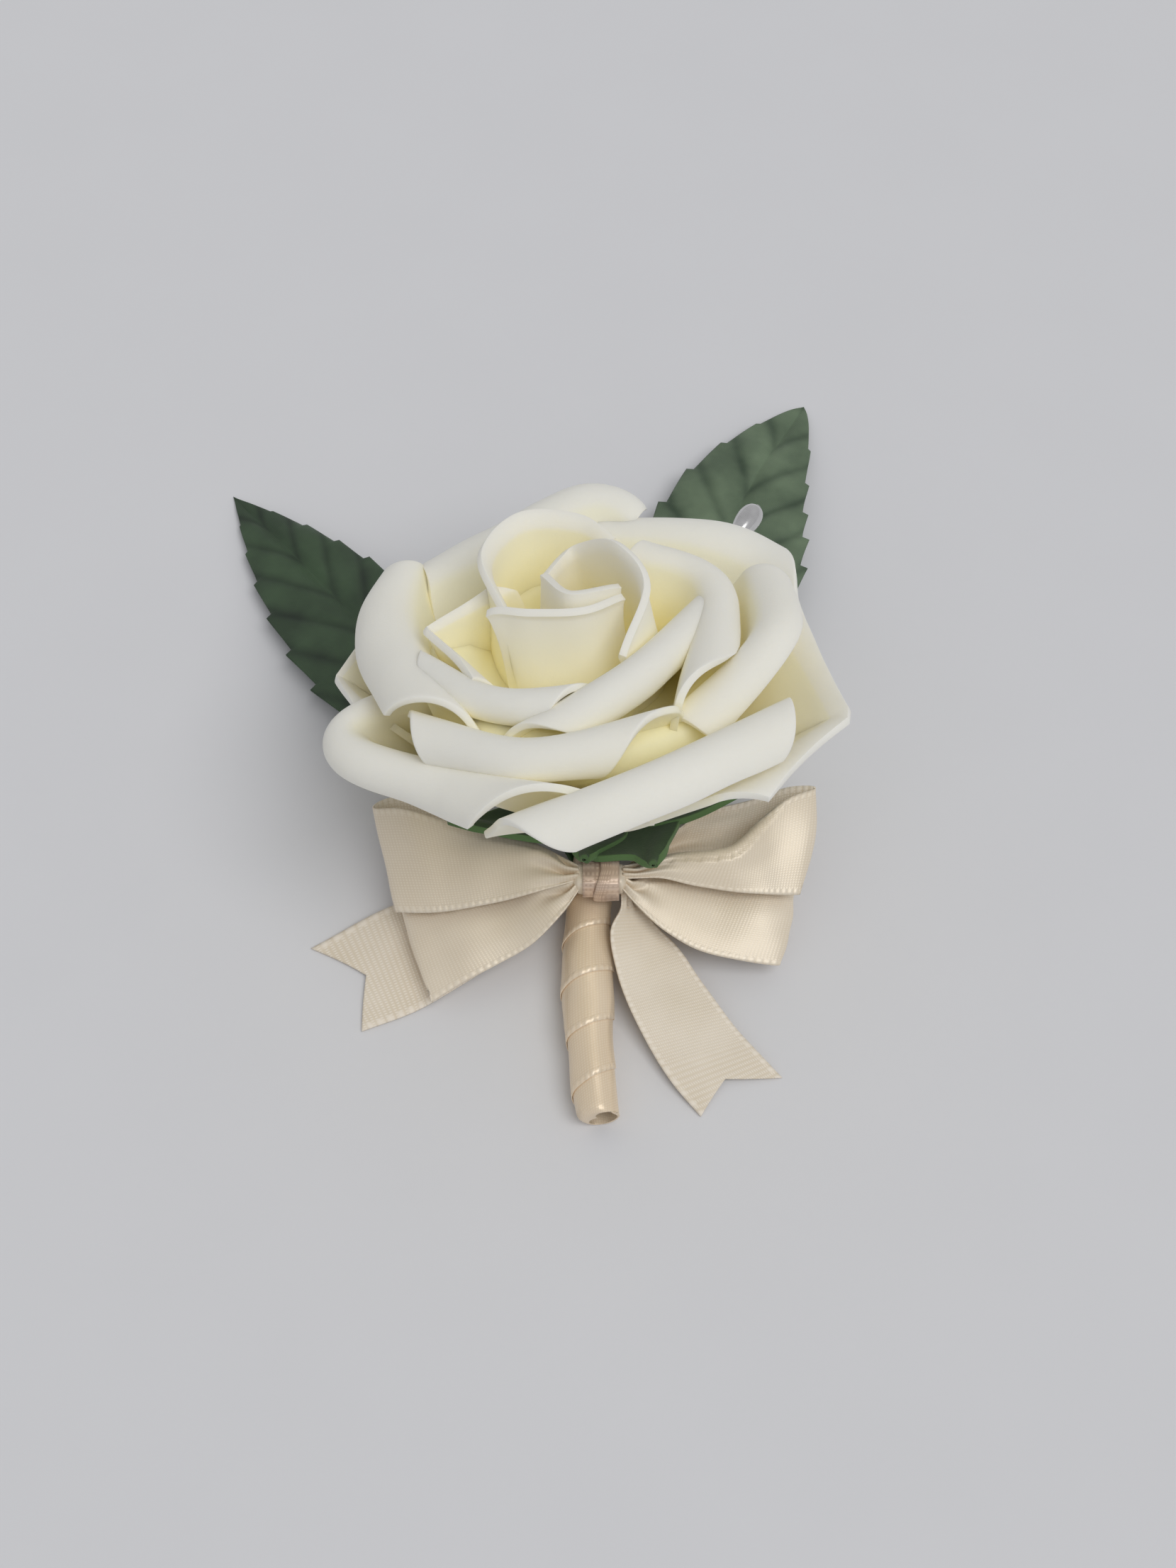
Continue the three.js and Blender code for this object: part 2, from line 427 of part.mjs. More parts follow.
// ---- bow: one ribbon folded into two loops and a tail on each side, pinched at the waist ----
// Each strip is given by its two edges, from the waist round the fold and back to the waist.
const strips = [
  // upper left loop
  { upper: [[-1.35, -21.6, 12.4], [-7.8, -17.6, 12.9], [-15.6, -15.8, 13], [-22.8, -14, 13.4],
      [-28.5, -12.2, 13.4], [-33.2, -10.9, 11.5], [-30.8, -7.4, 8.5], [-23.5, -8, 7.5], [-13.7, -12, 8],
      [-1.35, -21.3, 10.8]],
    lower: [[-1.35, -23.6, 12.2], [-7.8, -25.5, 11.6], [-13.4, -26.7, 10.8], [-19.8, -27.6, 9.8],
      [-24.2, -27.8, 9.2], [-28.8, -27, 7.8], [-26.6, -25.7, 5.9], [-20, -24.4, 5.8],
      [-11.5, -23.6, 6.8], [-1.35, -22.2, 10]] },
  // lower left loop
  { upper: [[-1.35, -22.8, 11.2], [-7.9, -22.9, 9], [-13.4, -23.9, 8], [-20, -25, 7.5], [-24.5, -25.7, 7],
      [-28.2, -25.4, 5.6], [-25.6, -23.4, 3], [-19, -22, 2.8], [-9, -21, 4.6], [-1.35, -21.6, 9.3]],
    lower: [[-1.35, -24.6, 11.2], [-4, -28.4, 10], [-8.2, -32.1, 7.8], [-13.6, -34.8, 5.7], [-19, -37.3, 4.4],
      [-23.8, -39.9, 3.4], [-20.8, -37.2, 2.3], [-14, -32.3, 2.4], [-6.5, -26.8, 4.6], [-1.35, -22.8, 9]] },
  // upper right loop
  { upper: [[5.25, -21.6, 12.4], [13.2, -19.9, 13.2], [19.5, -19.8, 13.8], [23.5, -18.3, 14],
      [30, -11, 13.7], [35.4, -7.9, 12.5], [31.2, -6.7, 10.4], [25.9, -8, 9],
      [16, -11.4, 8.2], [5.25, -21.3, 10.8]],
    lower: [[5.25, -23.4, 12.2], [10.9, -23.1, 11.5], [16.5, -23.9, 10.5], [22.5, -24.5, 9.6],
      [28.1, -24.6, 9], [32.7, -24, 7.8], [29.5, -22.8, 6], [23, -21.8, 5.8], [14, -21, 6.8], [5.25, -21.4, 10]] },
  // lower right loop
  { upper: [[5.25, -22.8, 11.2], [9, -21.6, 9.4], [15, -21, 8], [22, -21.2, 7.3], [28.4, -21.2, 7],
      [32.2, -20.6, 5.5], [28.9, -18.9, 3.3], [22, -18.2, 3.1], [12, -18.4, 4.8], [5.25, -21.2, 9.3]],
    lower: [[5.25, -24.6, 11.2], [8.2, -27.7, 9.8], [12.4, -30.7, 7.8], [17, -32.8, 6.1], [23.4, -33.8, 4.8],
      [29.2, -33.9, 3.5], [25.8, -31.9, 2.2], [19.5, -29.2, 2.4], [11, -25.1, 4.6], [5.25, -22.4, 8.9]] },
  // left tail, then right tail, each ending in a dovetail
  { upper: [[-1.35, -22, 9.3], [-4.6, -20.9, 7], [-8.5, -20, 3.4], [-14.5, -19.6, 1.6], [-24, -20.4, 1.2],
      [-33, -23.9, 0.9], [-42.8, -29.6, 0.35]],
    lower: [[-1.35, -23.4, 9.3], [-4.9, -24.9, 7], [-8.6, -27.6, 3.2], [-12.5, -31, 1.5], [-19, -35.9, 1.1],
      [-26.5, -40.3, 0.8], [-34.2, -43.4, 0.35]], notch: 0.085 },
  { upper: [[5.25, -22.6, 9.3], [7.6, -25.4, 6.8], [10.5, -28.2, 5], [13.9, -31.4, 3.8], [17.2, -36.2, 2.6],
      [21.5, -42.3, 1.7], [25.3, -46.9, 1.1], [29, -50.9, 0.35]],
    lower: [[5.25, -24.2, 9.3], [4.9, -26.8, 8.8], [3.4, -30.2, 7.8], [4.2, -35.3, 6], [5.9, -40.6, 4.3],
      [8.8, -46.2, 2.7], [12.4, -52, 1.5], [16.7, -57, 0.35]], notch: 0.085 },
];
const STRIP_STEPS = 17;
const STRIP_CELLS = 2;

function stripSolid({ upper, lower, notch = 0 }) {
  const edges = [upper, lower].map((e) => new THREE.CatmullRomCurve3(e.map(vec), false, 'catmullrom'));
  const rows = [];
  for (let i = 0; i <= STRIP_STEPS; i++) {
    const row = [];
    for (let j = 0; j <= STRIP_CELLS; j++) {
      const v = j / STRIP_CELLS;
      const t = (i / STRIP_STEPS) * (1 - notch * (1 - Math.abs(2 * v - 1)));
      row.push(edges[0].getPoint(t).lerp(edges[1].getPoint(t), v));
    }
    rows.push(row);
  }
  return toManifold(sheetSolid(rows, RIBBON, 0));
}
// The pinched waist of the bow, which the narrow band goes round.
const waist = { x: [-2.2, 5.8], y: [-25, -20.9], z: [8.9, 13] };
const BAND = { x: [-0.8, 4.7], thick: 0.5 };

function roundedBox(x, y, z, corner) {
  const [w, h] = [y[1] - y[0], z[1] - z[0]];
  const outline = new THREE.Shape().moveTo(-w / 2 + corner, -h / 2).lineTo(w / 2 - corner, -h / 2)
    .quadraticCurveTo(w / 2, -h / 2, w / 2, -h / 2 + corner).lineTo(w / 2, h / 2 - corner)
    .quadraticCurveTo(w / 2, h / 2, w / 2 - corner, h / 2).lineTo(-w / 2 + corner, h / 2)
    .quadraticCurveTo(-w / 2, h / 2, -w / 2, h / 2 - corner).lineTo(-w / 2, -h / 2 + corner)
    .quadraticCurveTo(-w / 2, -h / 2, -w / 2 + corner, -h / 2);
  const g = new THREE.ExtrudeGeometry(outline, { depth: x[1] - x[0], bevelEnabled: false, curveSegments: 4 });
  g.applyMatrix4(new THREE.Matrix4().makeBasis(
    new THREE.Vector3(0, 1, 0), new THREE.Vector3(0, 0, 1), new THREE.Vector3(1, 0, 0)));
  return g.translate(x[0], (y[0] + y[1]) / 2, (z[0] + z[1]) / 2);
}
const grow = ([a, b], d) => [a - d, b + d];
const bow = union([toManifold(roundedBox(waist.x, waist.y, waist.z, 1.2)), ...strips.map(stripSolid)]);
const bandHole = toManifold(roundedBox(grow(BAND.x, 1), grow(waist.y, GAP), grow(waist.z, GAP), 1.3));
const bandReach = GAP + BAND.thick;
const bandSkin = toManifold(roundedBox(BAND.x, grow(waist.y, bandReach), grow(waist.z, bandReach), 1.6));
place('bow_ribbon', fromManifold(bow), 0xd9cbb6, 0.35);
place('bow_band', fromManifold(bandSkin.subtract(bandHole)), 0xc4ab96, 0.35);

place('pin_shaft', pinShaft, 0xc9c9c9, 0.25, 1);
place('pin_head', pearl, 0xf4f2ee, 0.15);

// The origin is the middle of the underside of the whole.
const box = new THREE.Box3().setFromObject(boutonniere);
boutonniere.position.set(-(box.min.x + box.max.x) / 2, -(box.min.y + box.max.y) / 2, -box.min.z);
boutonniere.updateMatrixWorld(true);

export default boutonniere;
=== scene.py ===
import math

import bmesh
import bpy
from mathutils import Matrix, Vector, noise


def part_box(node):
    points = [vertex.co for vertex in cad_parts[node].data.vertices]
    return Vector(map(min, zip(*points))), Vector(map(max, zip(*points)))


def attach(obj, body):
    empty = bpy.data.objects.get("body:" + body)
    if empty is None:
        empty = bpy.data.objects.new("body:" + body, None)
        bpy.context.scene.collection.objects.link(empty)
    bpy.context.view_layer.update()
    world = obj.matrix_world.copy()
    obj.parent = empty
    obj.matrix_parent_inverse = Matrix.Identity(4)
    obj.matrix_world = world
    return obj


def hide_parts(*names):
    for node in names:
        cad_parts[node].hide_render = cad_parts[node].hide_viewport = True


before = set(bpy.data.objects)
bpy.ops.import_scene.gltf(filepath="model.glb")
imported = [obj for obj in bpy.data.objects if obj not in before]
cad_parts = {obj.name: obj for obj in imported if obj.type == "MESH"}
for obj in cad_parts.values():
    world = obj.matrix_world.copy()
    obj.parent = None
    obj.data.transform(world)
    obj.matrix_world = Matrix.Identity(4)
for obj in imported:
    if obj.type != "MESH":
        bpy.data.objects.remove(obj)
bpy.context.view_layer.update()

# ---- wire of the rose -----------------------------------------------------------------------
# One steel wire in a green plastic coat. Its top is glued into the base of the bloom, and the
# rest runs down the middle of the wound handle.
MM = 0.001                  # the sizes below are in millimetres, the scene is in metres
BAND_IN_LAYOUT = Vector((1.95, -22.95, 0))      # mm: the bow's band, which the layout is measured from
band_low, band_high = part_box("bow_band")
band_middle = (band_low + band_high) / 2
LAYOUT_ZERO = Vector((band_middle.x, band_middle.y, 0)) - BAND_IN_LAYOUT * MM

STEM_RADIUS = 1.2
STEM_PATH = [(1.2, -55.8, 3.6), (0, -44, 3.7), (-0.1, -30, 3.7), (0.4, -18.5, 3.7), (1.7, -13, 4.9),
             (2.2, -10.5, 8.6), (2, -8.2, 14.5)]


def through(points, t):
    """The point at t, from 0 to 1, of a smooth curve through the points."""
    points = [Vector(p) for p in points]
    last = len(points) - 1
    x = min(max(t, 0.0), 1.0) * last
    i = min(int(x), last - 1)
    u = x - i
    b, c = points[i], points[i + 1]
    a = points[i - 1] if i > 0 else 2 * b - c
    d = points[i + 2] if i + 2 <= last else 2 * c - b
    return 0.5 * (2 * b + (c - a) * u + (2 * a - 5 * b + 4 * c - d) * u * u
                  + (3 * b - a - 3 * c + d) * u ** 3)


def heading(points, t):
    return (through(points, min(1, t + 0.01)) - through(points, max(0, t - 0.01))).normalized()


def laid_grid(across, along, place, flat_at=None, marks=None):
    """A sheet of across by along cells. place(a, b) puts each corner, a and b from 0 to 1, in the
    layout's millimetres; flat_at(a, b) is its place on the flat sheet in metres, kept as the UV map
    'flat'; marks(a, b) is kept as the attribute 'mark'."""
    mesh = bmesh.new()
    uv = mesh.loops.layers.uv.new("flat")
    mark = mesh.verts.layers.float.new("mark")
    bmesh.ops.create_grid(mesh, x_segments=across, y_segments=along, size=0.5)
    for face in mesh.faces:
        for loop in face.loops:
            a, b = loop.vert.co.x + 0.5, loop.vert.co.y + 0.5
            loop[uv].uv = flat_at(a, b) if flat_at else (a, b)
    for vertex in mesh.verts:
        a, b = vertex.co.x + 0.5, vertex.co.y + 0.5
        if marks:
            vertex[mark] = marks(a, b)
        vertex.co = LAYOUT_ZERO + place(a, b) * MM
    return mesh


def piece_from(mesh, name, *finishes):
    """The finished object of a bmesh, smooth shaded, riding on the one body."""
    data = bpy.data.meshes.new(name)
    for face in mesh.faces:
        face.smooth = True
    mesh.to_mesh(data)
    mesh.free()
    for finish in finishes:
        data.materials.append(finish)
    piece = bpy.data.objects.new(name, data)
    bpy.context.scene.collection.objects.link(piece)
    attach(piece, "root")
    return piece


def wire_piece(name, path, radius, finish, sides=16, steps=60):
    """A round wire along a path, closed at both ends."""
    def place(a, b):
        forward = heading(path, b)
        side = forward.cross(Vector((0, 0, 1))).normalized()
        up = side.cross(forward)
        turn = 2 * math.pi * a
        return through(path, b) + radius * (math.cos(turn) * side + math.sin(turn) * up)

    mesh = laid_grid(sides, steps, place)
    bmesh.ops.remove_doubles(mesh, verts=mesh.verts, dist=0.01 * MM)
    bmesh.ops.holes_fill(mesh, edges=[e for e in mesh.edges if e.is_boundary])
    bmesh.ops.recalc_face_normals(mesh, faces=mesh.faces)
    return piece_from(mesh, name, finish)


def linear(colour):
    """An sRGB hex colour as linear red, green, blue and alpha."""
    parts = [int(colour[i:i + 2], 16) / 255 for i in (0, 2, 4)]
    return tuple(c / 12.92 if c <= 0.04045 else ((c + 0.055) / 1.055) ** 2.4 for c in parts) + (1.0,)


def plug(tree, node, links):
    """Gives each named socket of a node a value or another node's output."""
    sockets = {socket.identifier: socket for socket in node.inputs}
    for name, value in links.items():
        if isinstance(value, bpy.types.NodeSocket):
            tree.links.new(value, sockets[name])
        else:
            sockets[name].default_value = value


def add(tree, kind, links=None, **settings):
    """A node with its settings and links."""
    node = tree.nodes.new(kind)
    for name, value in settings.items():
        setattr(node, name, value)
    plug(tree, node, links or {})
    return node


def new_finish(name):
    """An empty material: its node tree and its shader."""
    material = bpy.data.materials.new(name)
    material.use_nodes = True
    return material, material.node_tree, material.node_tree.nodes["Principled BSDF"]


def grain(tree, size, detail):
    """Lumps of this size in metres, fixed to the piece."""
    place_on = add(tree, "ShaderNodeTexCoord").outputs["Object"]
    return add(tree, "ShaderNodeTexNoise",
               {"Vector": place_on, "Scale": 1 / size, "Detail": detail}).outputs["Fac"]


def mark_of(tree):
    """The attribute 'mark' of the mesh."""
    return add(tree, "ShaderNodeAttribute", attribute_name="mark").outputs["Fac"]


def blend(tree, factor, first, second):
    """From one colour to another, each an sRGB hex colour or a node's output."""
    first, second = (linear(colour) if isinstance(colour, str) else colour for colour in (first, second))
    return add(tree, "ShaderNodeMix", {"Factor_Float": factor, "A_Color": first, "B_Color": second},
               data_type="RGBA").outputs[2]


def relief(tree, height, strength, depth, **under):
    """The normal of a surface this deep in metres; Normal is a relief that it lies on."""
    return add(tree, "ShaderNodeBump",
               {"Height": height, "Strength": strength, "Distance": depth, **under}).outputs["Normal"]


def sums(tree, operation, *values):
    """What an operation makes of up to three outputs or numbers."""
    links = dict(zip(("Value", "Value_001", "Value_002"), values))
    return add(tree, "ShaderNodeMath", links, operation=operation).outputs[0]


def stretch(tree, value, low, high, to_low=0.0, to_high=1.0):
    """A value that runs from low to high, brought to another range and held at its ends."""
    return add(tree, "ShaderNodeMapRange", {"Value": value, "From Min": low, "From Max": high,
                                            "To Min": to_low, "To Max": to_high}).outputs[0]


# PVC coat, extruded: an even dark green with a dull gloss and a slight unevenness of the skin.
coat, tree, shader = new_finish("extruded_pvc_coat")
uneven = grain(tree, 1 / 900, 3.0)
plug(tree, shader, {"Base Color": blend(tree, uneven, "345A30", "42693B"), "Roughness": 0.45,
                    "Normal": relief(tree, uneven, 0.2, 0.2 * MM)})

stem = wire_piece("rose_wire", STEM_PATH, STEM_RADIUS, coat)
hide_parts("rose_stem")

# ---- bloom ----------------------------------------------------------------------------------
# A foam rose: die-cut petals of ivory EVA foam, each curled over at its rim with heat, glued one
# round another from the wound bud outwards on a small foam core.
BLOOM_BASE = Vector((2.1, -9.4, 11))
BLOOM_AXIS = Vector((-0.052, 0.342, 0.938)).normalized()
FOAM = 1.1
EASED = 0.3                 # rounding of the foam's cut edge
FOOT_RISE = math.radians(25)    # how steeply a petal leaves its glued foot
BELLY, UPRIGHT = 0.42, 0.38     # how full a petal is above its foot and below its rim
SPREAD = 30                 # degrees that a petal's two sides lag behind its foot
HAND_CURLED, CURL_SIZE = 0.35, 9    # no edge is quite even: how much, and over what length
CURL_SEED = 8               # of the unevenness, so that it is the same each time
BODY_SHARE = 0.4            # of the rows of a petal's mesh, the share below its rim
PETAL_ACROSS, PETAL_ALONG = 44, 56

across_bloom = (Vector((1, 0, 0)) - BLOOM_AXIS * BLOOM_AXIS.x).normalized()
STAND = Matrix.Translation(BLOOM_BASE) @ Matrix((across_bloom, BLOOM_AXIS.cross(across_bloom),
                                                 BLOOM_AXIS)).transposed().to_4x4()

# Each petal: the rim is where the foam turns over, as (azimuth, radius, height) points round the
# bloom's axis; roll is the lengths and turns in degrees of the turned-over part at the start, the
# middle and the end of the rim; cut is how far its two corners are pulled in, and q how soon; lean
# is how far the petal leans out at the rim; tip sharpens the rim's middle; root is the start and
# end azimuth, radius and height of the glued foot.
PETALS = {
    "outer": [
        dict(rim=[(-180, 13, 22.5), (-158, 36.3, 26.1), (-124, 30.6, 27.8), (-92, 35.2, 31.4)], lean=38,
             roll=[(8.8, 8.9, 13.4), (162, 185, 71)], cut=(0.26, 0.25), q=1.2, root=(-195, -90, 5, 2)),
        dict(rim=[(-110, 38.5, 27.1), (-77, 32.1, 32.1), (-32, 32.7, 31.5)], lean=35,
             roll=[(12, 9.7, 10.3), (164, 156, 153)], cut=(0.22, 0.15), q=0.8, root=(-115, -30, 5, 2)),
        dict(rim=[(-63.3, 34.8, 25.6), (-24.5, 36.6, 25.9), (25, 27.7, 27.8)], lean=49, tip=0.9,
             roll=[(8.3, 3.5, 5.7), (74, 25, 67)], cut=(0.09, 0.07), q=1.15, root=(-60, 25, 5, 2)),
        dict(rim=[(89, 25.7, 30.5), (57.5, 27.1, 30.3), (37.4, 30.7, 28), (13.2, 31.6, 28.9)], lean=27,
             roll=[(6.8, 7.1, 7.3), (131, 89, 94)], cut=(0, 0.3), q=0.85, root=(95, 15, 5, 2)),
        dict(rim=[(149, 28.7, 29.5), (117, 26.2, 30.4), (89, 29.7, 33.3), (77, 28.1, 31)], lean=30,
             roll=[(8.5, 9, 6.5), (138, 114, 130)], cut=(0.06, 0.1), q=1.2, root=(145, 70, 5, 2)),
        dict(rim=[(152, 33, 27), (175, 38, 23), (196, 33, 26)], lean=50, tip=0.8,
             roll=[(2.5, 1, 2.5), (60, 20, 60)], cut=(0.05, 0.05), q=1.15, root=(140, 205, 5, 2)),
    ],
    "middle": [
        dict(rim=[(142, 32.9, 31.2), (172, 25.9, 30.6), (234, 27.2, 32.2)], lean=20,
             roll=[(7.2, 12.7, 11), (161, 162, 126)], cut=(0.08, 0.17), q=1.15, root=(140, 210, 5, 4)),
        dict(rim=[(-148, 30.2, 31.2), (-108, 27.2, 33), (-62, 25.5, 35)], lean=38,
             roll=[(10.8, 9.7, 10.4), (135, 221, 97)], cut=(0.19, 0.29), q=1.35, root=(-150, -60, 5, 4)),
        dict(rim=[(-60, 21, 29.4), (-16, 24.2, 35.5), (27, 25.6, 32.9)], lean=26,
             roll=[(10.9, 7.3, 7.8), (173, 130, 117)], cut=(0.1, 0.16), q=0.5, root=(-60, 35, 5, 4)),
    ],
    "inner": [
        dict(rim=[(-170, 25.3, 32.8), (-128, 20.5, 34.4), (-89, 17.8, 35.6)], lean=29,
             roll=[(7.2, 7.6, 5.8), (122, 213, 120)], cut=(0.22, 0.29), q=1.1, root=(-175, -85, 4.5, 6)),
        dict(rim=[(-118, 25.5, 30.8), (-74, 15.1, 36.1), (11, 16.3, 35)], lean=29,
             roll=[(8.8, 9.6, 5), (144, 217, 136)], cut=(0.31, 0.13), q=0.95, root=(-110, 15, 4.5, 6)),
        dict(rim=[(66, 13.3, 36), (14, 16.1, 35.5), (-61, 24.8, 35)], lean=23,
             roll=[(3.9, 7.4, 7.2), (80, 161, 70)], cut=(0.03, 0.24), q=0.5, root=(70, -30, 4.5, 6), wide=0),
        dict(rim=[(148, 12.8, 35.5), (184, 23.1, 34), (225, 19.5, 33)], lean=20, tip=0.8,
             roll=[(2.5, 1.4, 3.9), (91, 30, 59)], cut=(0.1, 0.03), q=1.15, root=(140, 225, 4.5, 6)),
        dict(rim=[(194, 11.9, 37.2), (154, 16.1, 39.1), (122, 18.5, 39.5), (96, 16, 39.1), (75, 13, 38)],
             lean=5, roll=[(2, 3, 2), (40, 50, 40)], cut=(0, 0), q=1.15, root=(190, 65, 4, 7)),
    ],
    "bud": [
        dict(rim=[(148, 7.4, 37.9), (102, 9.2, 39.1), (40, 5.5, 43.1), (-25, 8.9, 40.8),
                  (-70, 13.4, 36.2)], lean=-5,
             roll=[(1.5, 2, 1.5), (30, 30, 30)], cut=(0, 0), q=1.15, root=(150, -80, 3.5, 10), wide=0),
        dict(rim=[(-156, 15, 39.4), (-150, 13.5, 40.2), (-134, 10.9, 40.4), (-94, 7.4, 39.9),
                  (-31, 5.4, 38.8)], lean=0,
             roll=[(1.5, 2, 1.5), (30, 50, 30)], cut=(0, 0), q=1.15, root=(-165, -20, 3.5, 10), wide=0),
        dict(rim=[(164, 6.5, 40.4), (-118, 5.3, 41.4), (-16, 4.6, 39.9)], lean=-10,
             roll=[(1, 1, 1), (10, 10, 10)], cut=(0, 0), q=1.15, root=(150, 0, 2, 12), wide=0),
    ],
}


def around(azimuth, radius, height):
    turn = math.radians(azimuth)
    return Vector((radius * math.cos(turn), radius * math.sin(turn), height))


def along3(values, a):
    """The value at a of a parabola through values at the start, the middle and the end."""
    start, middle, end = values
    return 2 * start * (a - 0.5) * (a - 1) - 4 * middle * a * (a - 1) + 2 * end * a * (a - 0.5)


def rim_point(petal, a):
    points = [around(*p) for p in petal["rim"]]
    smooth = through(points, a)
    if "tip" not in petal:
        return smooth
    soft = 0.12             # rounding of the pointed middle

    def ease(t):
        return (math.hypot(t, soft) - soft) / (math.hypot(1, soft) - soft)

    first, middle, last = points
    pointed = middle + (first - middle) * ease(max(0, 1 - 2 * a)) + (last - middle) * ease(max(0, 2 * a - 1))
    return smooth.lerp(pointed, petal["tip"])


def rim_frame(petal, a):
    """At the rim: the point, the way the petal climbs there, and the way it turns over."""
    point = rim_point(petal, a)
    side = (rim_point(petal, min(1, a + 0.01)) - rim_point(petal, max(0, a - 0.01))).normalized()
    out = Vector((point.x, point.y, 0)).normalized()
    lean = math.radians(petal["lean"])
    climb = Vector((0, 0, math.cos(lean))) + out * math.sin(lean)
    climb = (climb - side * climb.dot(side)).normalized()
    turn = side.cross(climb)
    return point, climb, -turn if turn.dot(out) < 0 else turn


def body_point(petal, a, s):
    """Between the glued foot (s = 0) and the rim (s = 1)."""
    first, last, radius, height = petal["root"]
    point, climb, _ = rim_frame(petal, a)
    foot = around(first + (last - first) * a, radius, height)
    reach = (point - foot).length
    rise = Vector((foot.x, foot.y, 0)).normalized() * math.cos(FOOT_RISE)
    rise.z = math.sin(FOOT_RISE)
    low, high = foot + rise * BELLY * reach, point - climb * UPRIGHT * reach
    r = 1 - s
    p = foot * r ** 3 + low * 3 * r * r * s + high * 3 * r * s * s + point * s ** 3
    spread = math.radians(petal.get("wide", SPREAD)) * (2 * a - 1) * r * (1 if last > first else -1)
    return Matrix.Rotation(spread, 3, "Z") @ p


def roll_point(petal, a, s):
    """Between the rim (s = 0) and the free edge (s = 1), rolled over in an arc."""
    inset = 1 - (1 - s) ** petal["q"]
    left, right = petal["cut"]
    a = left * inset + a * (1 - (left + right) * inset)
    point, climb, turn = rim_frame(petal, a)
    length = along3(petal["roll"][0], a) * s
    angle = math.radians(along3(petal["roll"][1], a)) * s
    radius = length / max(angle, 1e-4)
    return point + climb * radius * math.sin(angle) + turn * radius * (1 - math.cos(angle))


def petal_point(petal, a, b):
    if b < BODY_SHARE:
        p = body_point(petal, a, b / BODY_SHARE)
    else:
        p = roll_point(petal, a, (b - BODY_SHARE) / (1 - BODY_SHARE))
    return STAND @ (p + noise.noise_vector(p / CURL_SIZE) * HAND_CURLED * b)


def painted_glow_fade(ring, b):
    """How far the painted warm glow has faded at b: fully towards the rim. Deep in the bloom the foam is
    painted yellower, as painted light bounced between the petals.
    """
    start = 0.2 if ring == "bud" else 0.32
    least = 0.6 if ring == "outer" else 0
    return min(1, max(least, (b - start) / 0.22))


def thicken(piece, thickness, edge, **settings):
    """Gives a sheet its thickness, evenly to both sides, and eases its cut edge."""
    solid = piece.modifiers.new("thickness", "SOLIDIFY")
    solid.thickness = thickness * MM
    solid.offset = 0
    for name, value in settings.items():
        setattr(solid, name, value)
    if edge:
        ease = piece.modifiers.new("eased_edge", "BEVEL")
        ease.width = edge * MM
        ease.segments = 2
        ease.limit_method = "ANGLE"
        ease.angle_limit = math.radians(50)


def turned_piece(name, profile, place, finish, steps=64):
    """A solid turned about its own Z from (radius, height) points, in mm, then put in its place."""
    mesh = bmesh.new()
    corners = [mesh.verts.new((radius, 0, height)) for radius, height in profile]
    edges = [mesh.edges.new(pair) for pair in zip(corners, corners[1:])]
    bmesh.ops.spin(mesh, geom=corners + edges, axis=(0, 0, 1), cent=(0, 0, 0), steps=steps,
                   angle=2 * math.pi, use_merge=True)
    bmesh.ops.remove_doubles(mesh, verts=mesh.verts, dist=1e-4)
    bmesh.ops.transform(mesh, matrix=Matrix.Translation(LAYOUT_ZERO) @ Matrix.Scale(MM, 4) @ place,
                        verts=mesh.verts)
    bmesh.ops.recalc_face_normals(mesh, faces=mesh.faces)
    return piece_from(mesh, name, finish)


# EVA foam, moulded and skived: matt ivory that lets light into its thickness, with a fine grained
# skin. Its cells are 0.1 mm, drawn here at 0.35 mm so that they show.
foam, tree, shader = new_finish("ivory_eva_foam")
skin = relief(tree, grain(tree, 0.35 * MM, 2.0), 0.25, 0.1 * MM)
dents = relief(tree, grain(tree, 6 * MM, 2.0), 0.15, 1 * MM, Normal=skin)
# Painted light: mark 0 paints the foam yellow, a warm glow of light bounced between the petals deep in the
# bloom; mark 1 is its own ivory.
plug(tree, shader, {"Base Color": blend(tree, mark_of(tree), "FDF7D3", "F8F5E9"), "Roughness": 0.75,
                    "Specular IOR Level": 0.3, "Sheen Weight": 0.1, "Subsurface Weight": 0.4,
                    "Subsurface Radius": (1.0, 0.95, 0.85), "Subsurface Scale": 3 * MM, "Normal": dents})

# The pad of scrap foam that the petals are glued to, fuller to the front, where the bloom leans.
CORE = [(0, 0.5), (5, 2.5), (9, 7.5), (13.5, 13), (17, 17.5), (20.5, 21.5), (23.6, 25), (24.2, 27.3),
        (23, 29.6), (20.5, 31), (17.5, 30), (15.5, 27.5), (13, 25.5), (9, 24.5), (0, 24.5)]
# The core has no mark, so it is painted all over in the yellow of that painted glow.
core = turned_piece("rose_core", CORE, STAND @ Matrix.Translation((-0.6, -2, 0)), foam)
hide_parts("rose_bloom")

noise.seed_set(CURL_SEED)
for ring, petals in PETALS.items():
    for number, petal in enumerate(petals, 1):
        mesh = laid_grid(PETAL_ACROSS, PETAL_ALONG, lambda a, b: petal_point(petal, a, b),
                         marks=lambda a, b: painted_glow_fade(ring, b))
        piece = piece_from(mesh, f"petal_{ring}_{number}", foam)
        thicken(piece, FOAM, EASED)
        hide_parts("rose_bloom")

# ---- calyx ----------------------------------------------------------------------------------
# A star of green EVA foam with seven pointed lobes, slid up the wire and glued under the petals
# round a small foam cup.
SEPAL_FOAM = 1.0
SEPAL_EASED = 0.25
LOBE_FROM, LOBE_LOW = 3.5, -1.6     # radius and height where a lobe starts
# (azimuth, reach, height of the tip, width, sideways drift in degrees) of each lobe
SEPALS = [(-155, 25, 6.5, 10, 0), (-108, 14.5, 0.9, 11, 8), (-38, 17.5, 0.6, 19, -26), (-4, 30, 5.6, 10, 6),
          (45, 28, 6, 10, 0), (98, 27, 6, 10, 0), (152, 27, 6, 10, 0)]


